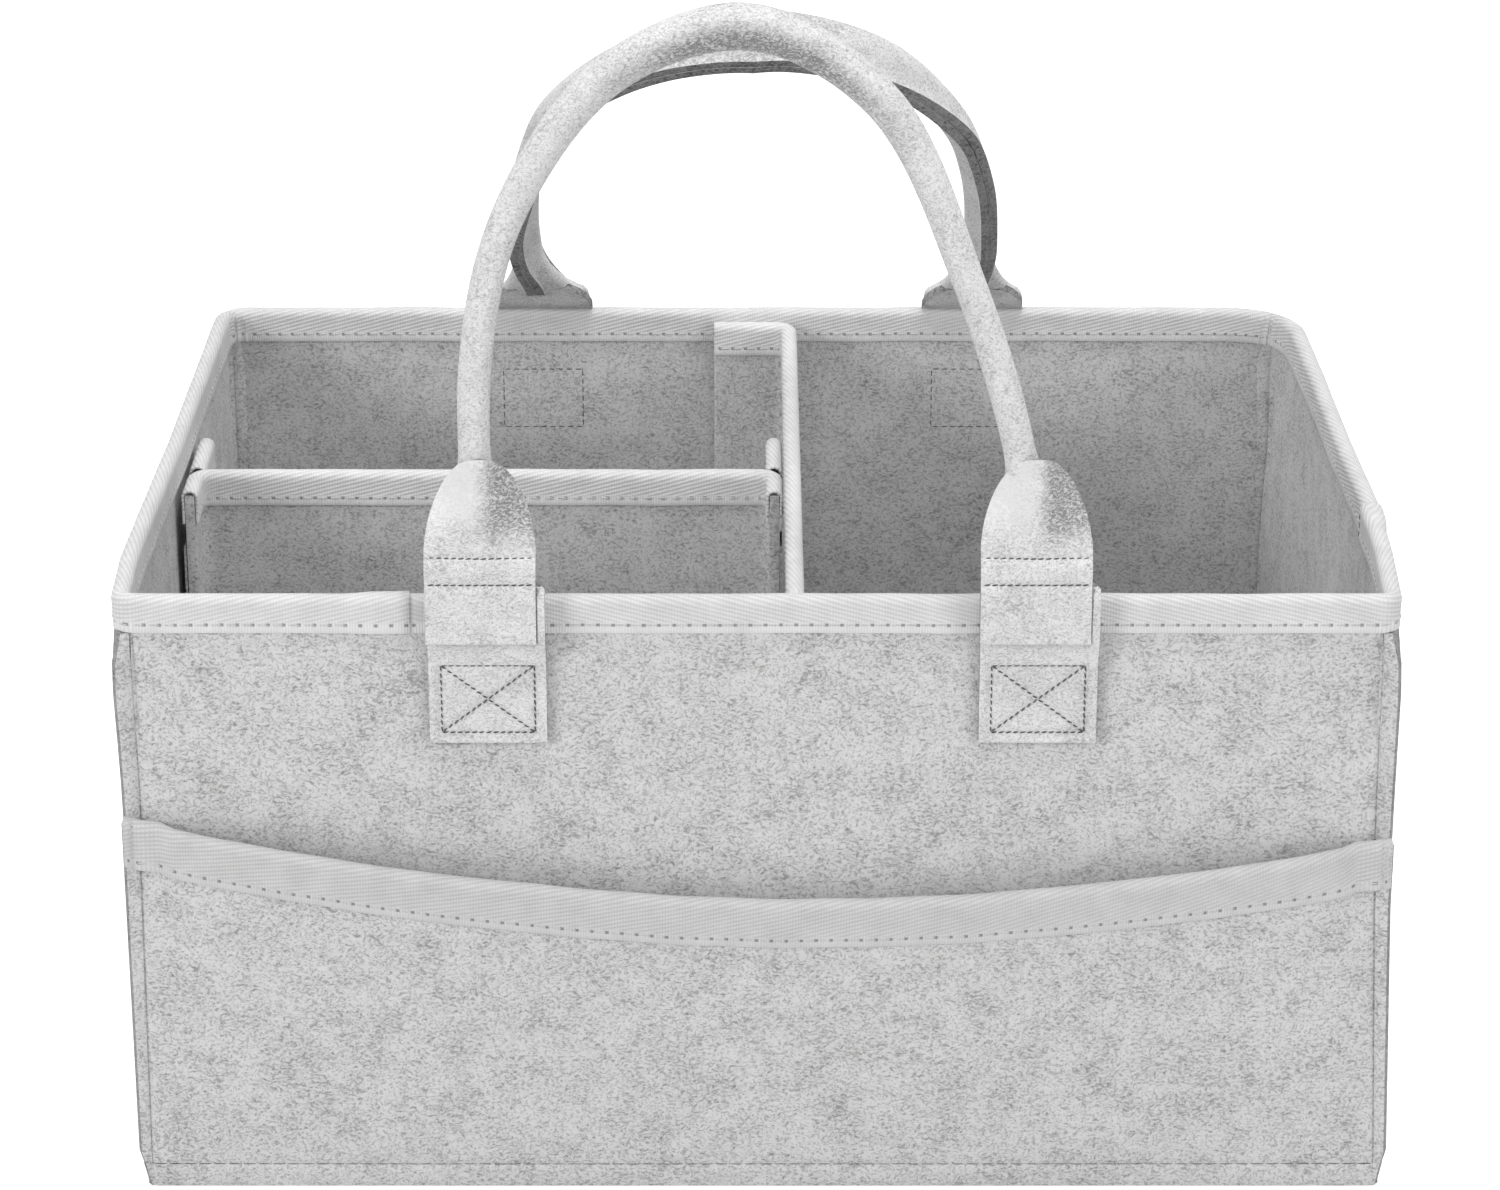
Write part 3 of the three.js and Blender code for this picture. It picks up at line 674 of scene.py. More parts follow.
# %% Bindings along a plan line
SKIRT_FROM, SKIRT_FULL = 2 * MM, 5 * MM
SEAM_PINCH = 0.12 * MM
CREST_WAVE = 0.3 * MM
tape_turn = FELT / 2 + FIT + TAPE / 2
tape_crest = math.pi * tape_turn


def tape_width(outer_drop, inner_drop):
    return outer_drop + inner_drop - 2 * (TAPE / 2 + tape_turn) + tape_crest


def tape_rows(outer_drop, inner_drop):
    """Distances across the flat tape: a few on each skirt, more over the crest."""
    outer = outer_drop - TAPE / 2 - tape_turn
    inner = outer + tape_crest
    total = tape_width(outer_drop, inner_drop)
    return [
        *np.linspace(0, outer, 7)[:-1],
        *np.linspace(outer, inner, 9)[:-1],
        *np.linspace(inner, total, 7),
    ]


def tape_fold(q, outer_drop):
    """Offset from the middle of the felt and depth below the crest, at distance q across the tape."""
    outer = outer_drop - TAPE / 2 - tape_turn
    if q <= outer:
        return tape_turn, outer_drop - q
    if q >= outer + tape_crest:
        return -tape_turn, TAPE / 2 + tape_turn + q - outer - tape_crest
    angle = (q - outer) / tape_turn
    return tape_turn * math.cos(angle), TAPE / 2 + tape_turn - tape_turn * math.sin(angle)


def plan_line(points, radius, steps=10):
    """A plan polyline with its corners rounded to that radius."""
    points = [np.array(point, float) for point in points]
    line = [points[0]]
    for before, corner, after in zip(points, points[1:], points[2:]):
        start, end = before - corner, after - corner
        start, end = start / np.linalg.norm(start), end / np.linalg.norm(end)
        half = math.acos(np.clip(np.dot(start, end), -1, 1)) / 2
        tangent = radius / math.tan(half)
        centre = corner + (start + end) / np.linalg.norm(start + end) * radius / math.sin(half)
        first, last = corner + start * tangent - centre, corner + end * tangent - centre
        sweep = math.atan2(first[0] * last[1] - first[1] * last[0], np.dot(first, last))
        for i in range(steps + 1):
            c, s = math.cos(sweep * i / steps), math.sin(sweep * i / steps)
            line.append(centre + np.array([c * first[0] - s * first[1], s * first[0] + c * first[1]]))
    line.append(points[-1])
    return np.array(line)


class Walk:
    """A plan line walked by distance, with its right-hand side as the outside."""

    def __init__(self, line):
        self.line = line
        self.run = run_length(line)
        self.length = self.run[-1]

    def at(self, s):
        return np.array([np.interp(s, self.run, self.line[:, k]) for k in range(2)])

    def outside(self, s, step=0.3 * MM):
        ahead = self.at(min(s + step, self.length))
        behind = self.at(max(s - step, 0))
        along = (ahead - behind) / np.linalg.norm(ahead - behind)
        return np.array([along[1], -along[0]])


def wobble(s, q, amount):
    return amount * noise.noise((s * 45, q * 60, 3.1))


def make_tape(name, walk, top, outer_drop, inner_drop, stations, lift=None, flip=False, sway=0.25 * MM):
    """A tape over an edge. lift(s, q) raises it off the felt, and sway is how far its skirts puff."""
    rows = tape_rows(outer_drop, inner_drop)
    places = [(walk.at(s), walk.outside(s)) for s in stations]

    def place(i, j):
        offset, depth = tape_fold(rows[j], outer_drop)
        middle, outside = places[i]
        on_skirt = ease(depth, SKIRT_FROM, SKIRT_FULL)
        puff = wobble(stations[i], rows[j], sway) * on_skirt
        pinch = SEAM_PINCH * on_skirt
        side = 1 if offset > 0 else -1
        raised = lift(stations[i], rows[j]) if lift else 0.0
        offset += side * (puff - pinch + raised)
        point = middle + outside * offset
        crest = 0.4 * raised * (1 - on_skirt) + wobble(stations[i], 0.5, CREST_WAVE)
        return Vector((point[0], point[1], top - depth + crest))

    def cloth(i, j):
        return (-stations[i] if flip else stations[i], rows[j])

    return lay(name, len(stations) - 1, len(rows) - 1, place, cloth)


def seam_marks(walk, top, outer_drop, inner_drop, start, stop):
    """Stitch marks on both skirts of a tape, one pair of rows along the walk."""
    marks = []
    stations = np.linspace(start, stop, max(2, int((stop - start) / (2 * MM))))
    for depth, side in ((outer_drop - SEAM_IN, 1), (inner_drop - SEAM_IN, -1)):
        offset = side * (tape_turn + TAPE / 2 - 0.05 * MM)
        points, outs = [], []
        for s in stations:
            middle, outside = walk.at(s), walk.outside(s)
            point = middle + outside * offset
            points.append((point[0], point[1], top - depth))
            outs.append((side * outside[0], side * outside[1], 0))
        marks.extend(marks_along(points, outs))
    return marks


# %% [markdown]
# The rim
# The rim tape is sewn on in two lengths. Each starts under the end of the other: one lap is on the front
# beside the left tab, the other on the right rim. In the two rear corners the spare tape on the inside
# bunches into small pleats.

# %% Rim binding
FRONT_LAP_X = -102.6 * MM
RIGHT_LAP_Y = -72 * MM
LAP, LAP_LIFT = 10 * MM, 0.75 * MM
LAP_SEAM_IN, LAP_PITCH = 1.4 * MM, 2.4 * MM
PLEAT_PITCH, PLEAT_LIFT = 3.2 * MM, 0.9 * MM
PLEAT_REACH = 13 * MM
PLEAT_FROM, PLEAT_FULL = 14 * MM, 17 * MM
RIM_STEP = 4 * MM
CORNER_STEP = 0.8 * MM
CORNER_REACH, CORNER_CLEAR = 16 * MM, 16.5 * MM

mid_x, mid_y = HALF_X - FELT / 2, HALF_Y - FELT / 2
rim_corners = [
    (FRONT_LAP_X - LAP, -mid_y),
    (mid_x, -mid_y),
    (mid_x, mid_y),
    (-mid_x, mid_y),
    (-mid_x, -mid_y),
    (FRONT_LAP_X, -mid_y),
]
rim_walk = Walk(plan_line(rim_corners, RIM_RADIUS - FELT / 2, 16))
corner_runs = []
for corner in rim_corners[1:5]:
    gaps = np.linalg.norm(rim_walk.line - np.array(corner), axis=1)
    corner_runs.append(rim_walk.run[int(np.argmin(gaps))])
right_lap = corner_runs[0] + (RIGHT_LAP_Y + mid_y)


def rim_stations(start, stop):
    """Stations along the rim, closer together round the corners."""
    coarse = np.arange(start, stop, RIM_STEP)
    fine = [np.arange(run - CORNER_REACH, run + CORNER_REACH, CORNER_STEP) for run in corner_runs]
    fine = np.concatenate(fine)
    near = np.min(np.abs(coarse[:, None] - np.array(corner_runs)[None, :]), axis=1) < CORNER_CLEAR
    inside = fine[(fine > start) & (fine < stop)]
    laps = [stop - LAP, stop]
    return np.unique(np.round(np.concatenate([coarse[~near], inside, laps]), 6))


def rim_lift(stop):
    def lift(s, q):
        lap = ease(s, stop - 2 * LAP, stop - LAP) * LAP_LIFT
        pleats = 0.0
        if q > PLEAT_FROM:
            for run in corner_runs[1:3]:
                share = max(0.0, 1 - abs(s - run) / PLEAT_REACH)
                fold = max(0.0, math.cos(2 * math.pi * (s - run) / PLEAT_PITCH))
                pleats += PLEAT_LIFT * share * fold * ease(q, PLEAT_FROM, PLEAT_FULL)
        return lap + pleats

    return lift


def rim_length(name, start, stop, flip):
    stations = rim_stations(start, stop)
    return make_tape(name, rim_walk, HEIGHT, RIM_DROP, RIM_DROP, stations, rim_lift(stop), flip)


rim_tape_width = tape_width(RIM_DROP, RIM_DROP)
rim_tape = tape_finish("rim_tape", 0.80, rim_tape_width)
first_end = right_lap + LAP
first = rim_length("rim_binding_tape", 0, first_end, True)
second = rim_length("rim_second_length", right_lap, rim_walk.length, False)
pick(first)
second.select_set(True)
bpy.ops.object.join()
rim_area = thicken(first, TAPE, rim_tape, rim_tape, TAPE_SOFTEN, steps=1)
dress(first, "tape", "caddy", "rim_binding")
cut_from(first, rim_walk.length + LAP, rim_tape_width, rim_area)
rim_marks = seam_marks(rim_walk, HEIGHT, RIM_DROP, RIM_DROP, 2 * LAP, rim_walk.length)
sew("rim_stitches", rim_marks, pale_thread, "tape", "caddy")
lap_s = first_end - LAP_SEAM_IN
lap_out = rim_walk.outside(lap_s)
lap_in = rim_walk.at(lap_s) - lap_out * (tape_turn + TAPE / 2 + 0.7 * MM)
lap_line = [(*lap_in, HEIGHT - depth) for depth in np.linspace(2.5 * MM, RIM_DROP - 0.5 * MM, 8)]
lap_marks = marks_along(lap_line, [(-lap_out[0], -lap_out[1], 0)] * len(lap_line), LAP_PITCH)
sew("rim_lap_stitches", lap_marks, grey_thread, "tape", "caddy", length=2 * MM, thickness=0.5 * MM)
print("rim tape length:", round(rim_walk.length, 3))

# %% [markdown]
# The pockets
# A pocket is a sheet as wide as the wall, sewn in at the bottom and at the two corner seams. Its mouth
# hangs from the corners and stands a little off the wall in the middle. Front and back are one pattern.

# %% Pockets
POCKET_LEFT = 123 * MM
POCKET_RIGHT = 116 * MM
POCKET_LOW = 98.5 * MM
POCKET_LOW_X = 12 * MM
POCKET_BULGE = 7.5 * MM
POCKET_DIP, POCKET_DIP_WIDTH = 2.5 * MM, 70 * MM
POCKET_RIPPLE = 0.8 * MM
MOUTH_CURVE = 1.6
MOUTH_UNDER_TAPE = 0.8 * MM
STIFF_BRIDGE = 2.2 * MM
POCKET_TAPE_WAVE, POCKET_TAPE_PUFF = 0.5 * MM, 0.3 * MM
POCKET_FRONT_DROP = 15.5 * MM
POCKET_BACK_DROP = 10 * MM
POCKET_END_MARGIN = 9 * MM
POCKET_COLUMNS = 90
FOOT_PRESS, FOOT_PRESS_WIDTH = 0.5 * MM, 0.7 * MM
FOOT_SEAM = 7.5 * MM


def pocket_mouth(x):
    left = x < POCKET_LOW_X
    run = HALF_X + POCKET_LOW_X if left else HALF_X - POCKET_LOW_X
    rise = (POCKET_LEFT if left else POCKET_RIGHT) - POCKET_LOW
    return POCKET_LOW + rise * (abs(x - POCKET_LOW_X) / run) ** MOUTH_CURVE


pocket_reach = HALF_X - POCKET_END_MARGIN
pocket_runs = np.linspace(-pocket_reach, pocket_reach, POCKET_COLUMNS + 1 - 2 * CORNER_RANKS)


def pocket_plan(i, k, z, stiff=0.0):
    """Plan point of pocket column i at k out from the wall's face. A stiff layer bridges the groove."""
    side = -1 if i < POCKET_COLUMNS / 2 else 1
    rank = min(i, POCKET_COLUMNS - i)
    if rank < CORNER_RANKS:
        beyond, lifted = seam_corner(rank, z, groove_in(z) - stiff * STIFF_BRIDGE)
        return side * (HALF_X + beyond), -HALF_Y - k - lifted * (1 - 0.5 * stiff)
    x = pocket_runs[i - CORNER_RANKS]
    return x, -HALF_Y - k - wall_bow(x, z, HALF_X, LONG_BOW)


def pocket_x(i):
    return pocket_plan(i, 0, POCKET_LEFT)[0]


def pocket_gap(i, share):
    x = pocket_x(i)
    spread = max(0.0, 1 - (x / pocket_reach) ** 2)
    bulge = POCKET_BULGE * spread**0.3 - POCKET_DIP * bell(x, 0, POCKET_DIP_WIDTH)
    ripple = POCKET_RIPPLE * noise.noise((x * 22, share * 2.4, 7.7)) * spread * share * (1 - 0.5 * share)
    return FIT + (SKIN + bulge) * share**1.5 + ripple


def pocket_rows():
    """Shares of the height, with extra rows where the foot seam presses the felt in."""
    near = [(FOOT_SEAM + step * MM) / POCKET_LOW for step in (-2.2, -0.8, 0, 0.8, 2.2)]
    return [0.0, 0.025, *near, *np.linspace(0.12, 1.0, 24)]


def make_pocket(side, turn):
    shares = pocket_rows()

    def sheet_place(i, j):
        height = pocket_mouth(pocket_x(i)) - MOUTH_UNDER_TAPE
        z = lerp(shares[j] * POCKET_LOW, shares[j] * height, ease(shares[j], 0.1, 0.3))
        press = FOOT_PRESS * bell(z, FOOT_SEAM, FOOT_PRESS_WIDTH)
        x, y = pocket_plan(i, pocket_gap(i, shares[j]) + FELT / 2 - press, z)
        return turned(turn, x, y, z)

    pocket = lay(f"{side}_pocket_felt", POCKET_COLUMNS, len(shares) - 1, sheet_place)
    area = thicken(pocket, FELT, felt, felt_edge, FELT_SOFTEN, even=False)
    dress(pocket, "felt", "caddy", f"{side}_pocket")
    width = 2 * (HALF_X + SEAM_MARGIN)
    cut_from(pocket, width, POCKET_LEFT, area)

    rows = tape_rows(POCKET_FRONT_DROP, POCKET_BACK_DROP)
    runs = run_length([(pocket_x(i), pocket_mouth(pocket_x(i))) for i in range(POCKET_COLUMNS + 1)])

    def tape_at(i, q, proud=0.0):
        offset, depth = tape_fold(q, POCKET_FRONT_DROP)
        mouth = pocket_mouth(pocket_x(i))
        z = mouth + SKIN - depth + wobble(runs[i], 0.5, POCKET_TAPE_WAVE)
        side_sign = 1 if offset > 0 else -1
        offset += side_sign * (proud + wobble(runs[i], q, POCKET_TAPE_PUFF))
        x, y = pocket_plan(i, pocket_gap(i, min(z / mouth, 1.0)) + FELT / 2 + offset, z, stiff=1.0)
        return turned(turn, x, y, z)

    def tape_place(i, j):
        return tape_at(i, rows[j])

    def tape_cloth(i, j):
        return runs[i], rows[j]

    tape_name = f"{side}_pocket_binding_tape"
    tape = lay(tape_name, POCKET_COLUMNS, len(rows) - 1, tape_place, tape_cloth)
    tape_area = thicken(tape, TAPE, pocket_tape, pocket_tape, TAPE_SOFTEN, steps=1)
    dress(tape, "tape", "caddy", f"{side}_pocket_binding")
    cut_from(tape, runs[-1], pocket_tape_width, tape_area)

    out = turned(turn, 0, -1, 0)
    line, foot = [], []
    for i in range(3, POCKET_COLUMNS - 2):
        line.append(tape_at(i, SEAM_IN, TAPE / 2))
        k = pocket_gap(i, FOOT_SEAM / POCKET_LOW) + FELT - FOOT_PRESS + 0.05 * MM
        x, y = pocket_plan(i, k, FOOT_SEAM)
        foot.append(turned(turn, x, y, FOOT_SEAM))
    marks = marks_along(line, [out] * len(line))
    sew(f"{side}_pocket_tape_stitches", marks, pale_thread, "tape", "caddy")
    marks = marks_along(foot, [out] * len(foot))
    sew(f"{side}_foot_stitches", marks, grey_thread, "felt", "caddy", length=4.0 * MM, thickness=0.4 * MM)


pocket_tape_width = tape_width(POCKET_FRONT_DROP, POCKET_BACK_DROP)
pocket_tape = tape_finish("pocket_tape", 0.68, pocket_tape_width, back_seam=False)
make_pocket("front", 0)
make_pocket("back", math.pi)
print("pocket mouth:", [round(pocket_mouth(x * MM) / MM, 1) for x in (-188, 12, 188)])

# %% [markdown]
# Seams low on the sides
# The base is sewn through the side walls too. These rows of stitches show on the two short sides.

# %% Side foot seams
for name, turn in (("right_foot_stitches", math.pi / 2), ("left_foot_stitches", -math.pi / 2)):
    reach = HALF_Y - 5 * MM
    line = []
    for y in np.linspace(-reach, reach, 60):
        bow = wall_bow(y, FOOT_SEAM, HALF_Y, SHORT_BOW)
        line.append(turned(turn, y, -HALF_X - bow - 0.02 * MM, FOOT_SEAM))
    out = turned(turn, 0, -1, 0)
    marks = marks_along(line, [out] * len(line))
    sew(name, marks, grey_thread, "felt", "caddy", thickness=0.45 * MM)

# %% [markdown]
# How the box settles
# Sewn felt does not stand square. In the photograph the front rim hangs a little, both side rims bow
# out, the rear corners are drawn in and the right foot stands out. One smooth field moves all the pieces
# of the box together, so that what touches still touches. It fades to nothing at the dividers.

# %% Settling
RIM_HANG = 0.9 * MM
BOW_ZONE = (120 * MM, 192 * MM)
ROUND_ZONE = (140 * MM, 190 * MM)
HANG_ZONE = (150 * MM, 190 * MM)
LEFT_BOW = [(-1, 1.6 * MM), (-0.75, 3.0 * MM), (0, 0.3 * MM), (1, -1 * MM)]
RIGHT_BOW = [
    (-1, 0.4 * MM), (-0.7, 2.5 * MM), (-0.4, 3.2 * MM),
    (0, 1.5 * MM), (0.5, 0.5 * MM), (1, -0.8 * MM),
]
LEFT_DRAW = 3 * MM
RIGHT_DRAW = 8 * MM
LEFT_ROUND = 11 * MM
RIGHT_ROUND = 26 * MM
RIGHT_FOOT = 3.2 * MM
RIGHT_FOOT_HEIGHT = 95 * MM


def settled(point):
    x, y, z = point
    across, along = abs(x) / HALF_X, y / HALF_Y
    bow, draw, foot, bend = LEFT_BOW, LEFT_DRAW, 0.0, LEFT_ROUND
    if x > 0:
        bow, draw, foot, bend = RIGHT_BOW, RIGHT_DRAW, RIGHT_FOOT, RIGHT_ROUND
    rim = ease(z, *BOW_ZONE)
    out = np.interp(along, *zip(*bow)) * rim
    out -= draw * ease(along, 0.3, 1.0) * math.sin(math.pi * clamp(z / HEIGHT))
    out += foot * max(0.0, 1 - z / RIGHT_FOOT_HEIGHT) * ease(-along, -0.2, 0.8)
    out *= across**3
    u = min(1 + (abs(x) - HALF_X) / bend, 1.0)
    v = min(1 + (y - HALF_Y) / bend, 1.0)
    if u > 0 and v > 0:
        turn_in = bend * ease(z, *ROUND_ZONE)
        out -= turn_in * u * (1 - math.sqrt(1 - v * v / 2))
        y -= turn_in * v * (1 - math.sqrt(1 - u * u / 2))
    hang = RIM_HANG * ease(-along, 0.2, 0.9) * ease(z, *HANG_ZONE)
    return Vector((x + out * math.copysign(1, x), y, z - hang))


settling = [
    piece for piece in bpy.data.objects
    if piece.type == "MESH" and piece.name not in frame["nodes"]
]
for piece in settling:
    for vertex in piece.data.vertices:
        vertex.co = settled(vertex.co)
    piece.data.update()
print("settled:", len(settling), "pieces")

# %% [markdown]
# Handle anchors
# Each end of a handle is held by two layers: a strap that is sewn to the wall with a boxed cross, and a
# bullet-shaped tab on top of it. Both layers cross the rim, where the handle flops over, so neither is
# hung on a body. At rest the front handle leans in by 8 degrees and the rear one by 40.

# %% The line of a layer over the fold
HINGE_CLEARANCE = 0.4 * MM
FOLD_SOFTNESS = 4 * MM
FOLD_ZONE = 6 * MM
HANDLES = {
    "front": {
        "turn": 0.0,
        "lean": math.radians(8),
        "strap_shift": 1.35 * MM,
        "strap_top": 2.4 * MM,
        "strap_corner": 0.6 * MM,
        "strap_step": 3.0 * MM,
        "tab_shift": -0.1 * MM,
        "grip_start": 3.2 * MM,
        "set_back": 0.76,
        "flare": 15 * MM,
        "wrap": 1.2,
        "twist": (0.0, 0.0),
        "dent": 1.6 * MM,
        # Strength of the painted light on the tab's nose, then of the painted shade on the crown.
        "rub": 1.2,
        "crown_rub": 1.8,
    },
    "rear": {
        "turn": math.pi,
        "lean": math.radians(40),
        "strap_shift": 0.0,
        "strap_top": 16.5 * MM,
        "strap_corner": 14.0 * MM,
        "strap_step": 0.0,
        "tab_shift": 0.0,
        "grip_start": 4.8 * MM,
        "set_back": 1.42,
        "flare": 17 * MM,
        "wrap": 0.6,
        "twist": (math.radians(28), math.radians(26)),
        "dent": 0.0,
        # Strength of the painted light on the tab's nose, then of the painted shade on the crown.
        "rub": 0.0,
        "crown_rub": 0.55,
    },
}
ANCHORS = [(side, hand) for side in HANDLES for hand in ("left", "right")]
FLARE_FROM = 9 * MM
FLARE_END = 42 * MM
LEG_RADIUS = 4.8 * MM


def flare_share(t):
    """How far the handle is flattened at t from the fold: 1 under the tab, 0 where it is a tube."""
    return clamp((FLARE_END - t) / (FLARE_END - FLARE_FROM))


def flare_half(side, t):
    return lerp(LEG_RADIUS, HANDLES[side]["flare"], flare_share(t) ** 1.6)


def layer_point(lean, depth, t):
    """Point of a layer at that depth inside the hinge line, t along it from the fold: (inward, up)."""
    corner_in, corner_up = depth, -depth * math.tan(lean / 2)
    if t <= -FOLD_SOFTNESS:
        return corner_in, corner_up + t
    if t >= FOLD_SOFTNESS:
        return corner_in + t * math.sin(lean), corner_up + t * math.cos(lean)
    share = (t + FOLD_SOFTNESS) / (2 * FOLD_SOFTNESS)
    pull = FOLD_SOFTNESS * share * share
    rest = -FOLD_SOFTNESS * (1 - share) * (1 - share)
    return corner_in + pull * math.sin(lean), corner_up + rest + pull * math.cos(lean)


def layer_out(lean, t):
    """Outward direction of the layer there: (inward, up)."""
    angle = lean * clamp((t + FOLD_SOFTNESS) / (2 * FOLD_SOFTNESS))
    return -math.cos(angle), math.sin(angle)


def cross_fold(piece, side, x):
    handle = HANDLES[side]
    lean = handle["lean"]
    inward, up = FOLD_ZONE * math.sin(lean), FOLD_ZONE * math.cos(lean)
    start = turned(handle["turn"], x, -HINGE_OUT, HINGE_Z)
    end = turned(handle["turn"], x, -HINGE_OUT + inward, HINGE_Z + up)
    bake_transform(piece)


# %% [markdown]
# The arches
# Each handle is drawn as it would stand upright: an arch through a few points, as shares of half its
# span and of its rise. Neither arch is quite even, because rolled felt takes a bend of its own.

# %% Handle arches
HANDLE_RISE = 164 * MM
SPANS = {"front": 81.5 * MM, "rear": 75 * MM}
ARCHES = {
    "front": [
        (-1, 0), (-1.01, 0.43), (-0.88, 0.69), (-0.52, 0.93), (-0.03, 1.01),
        (0.44, 0.88), (0.75, 0.56), (0.94, 0.25), (1, 0),
    ],
    "rear": [
        (-1, 0), (-1, 0.35), (-0.96, 0.56), (-0.84, 0.75), (-0.5, 0.97), (0, 1.055),
        (0.5, 0.97), (0.86, 0.79), (1, 0.6), (1.05, 0.38), (1, 0),
    ],
}


def smooth_curve(points, steps=60):
    """A curve through the points whose knots are spaced by the root of their distances."""
    points = np.array(points, float)
    points = np.vstack([2 * points[0] - points[1], points, 2 * points[-1] - points[-2]])
    curve = []
    for p0, p1, p2, p3 in zip(points, points[1:], points[2:], points[3:]):
        d0, d1, d2 = (math.sqrt(np.linalg.norm(b - a)) for a, b in ((p0, p1), (p1, p2), (p2, p3)))
        m1 = ((p1 - p0) / d0 - (p2 - p0) / (d0 + d1) + (p2 - p1) / d1) * d1
        m2 = ((p2 - p1) / d1 - (p3 - p1) / (d1 + d2) + (p3 - p2) / d2) * d1
        for s in np.arange(steps) / steps:
            h = (2 * s**3 - 3 * s**2 + 1, s**3 - 2 * s**2 + s, -2 * s**3 + 3 * s**2, s**3 - s**2)
            curve.append(h[0] * p1 + h[1] * m1 + h[2] * p2 + h[3] * m2)
    curve.append(points[-2])
    return np.array(curve)


arch_walks = {}
for side, arch in ARCHES.items():
    arch_walks[side] = Walk(smooth_curve([(x * SPANS[side], h * HANDLE_RISE) for x, h in arch]))


def leg_drift(side, hand, t):
    """How far a leg has moved sideways at t along it from its foot."""
    walk = arch_walks[side]
    first = (hand == "left") == (side == "front")
    start, here = (0, t) if first else (walk.length, walk.length - t)
    return walk.at(here)[0] - walk.at(start)[0]


# %% [markdown]
# The straps
# A strap lies on the wall, steps out over the rim tape and ends just above the rim. The boxed cross
# presses the felt down along its stitches, so the surface between them stands up like a quilt.

# %% Straps
STRAP_WIDTH = 34.9 * MM
STRAP_COLUMNS, STRAP_ROWS = 42, 64
STRAP_SPREAD = [*np.linspace(-1, 0.8, 33), *np.linspace(0.82, 1, 10)]
STRAP_SOFTEN = 0.9 * MM
STRAP_END_IN = 6.6 * MM
STRAP_END_ZONE = (-2 * MM, 7 * MM)
STEP_LOW, STEP_HIGH = 173.5 * MM, 184.5 * MM
STEP_X, STEP_RUN = 14.7 * MM, 1.3 * MM
STEP_HOLD = 0.6
BOX_INSET = 3.6 * MM
BOX_FOOT = 2.9 * MM
BOX_TOP = 172.8 * MM
BOX_SINK = 0.6 * MM
BOX_PRESS, BOX_PRESS_WIDTH = 0.8 * MM, 0.9 * MM
BOX_THREAD_SINK = 1.1 * MM
FACE_LEVEL = 0.9 * MM
INNER_PITCH = 2.8 * MM
STITCH_SLANT = 0.2
SEAM_SHARES = np.linspace(0, 1, 12)
strap_depth = HINGE_CLEARANCE + FELT + FIT + FELT / 2


def box_cross(x_half, low, high):
    """Ends of the seams of a boxed cross: four sides and two diagonals."""
    return [
        ((-x_half, low), (x_half, low)),
        ((x_half, low), (x_half, high)),
        ((x_half, high), (-x_half, high)),
        ((-x_half, high), (-x_half, low)),
        ((-x_half, low), (x_half, high)),
        ((-x_half, high), (x_half, low)),
    ]


def seam_distance(x, z, seams):
    """Distance in the cloth from a point to the nearest seam."""
    best = 1.0
    for (x0, z0), (x1, z1) in seams:
        dx, dz = x1 - x0, z1 - z0
        share = clamp(((x - x0) * dx + (z - z0) * dz) / (dx * dx + dz * dz))
        best = min(best, math.hypot(x - x0 - share * dx, z - z0 - share * dz))
    return best


def rounded_half_width(t, high, half, radius):
    """Half the width of a strip with rounded corners at its upper end."""
    over = t - (high - radius)
    if over <= 0:
        return half
    return half - radius + math.sqrt(max(radius * radius - over * over, 0.0))


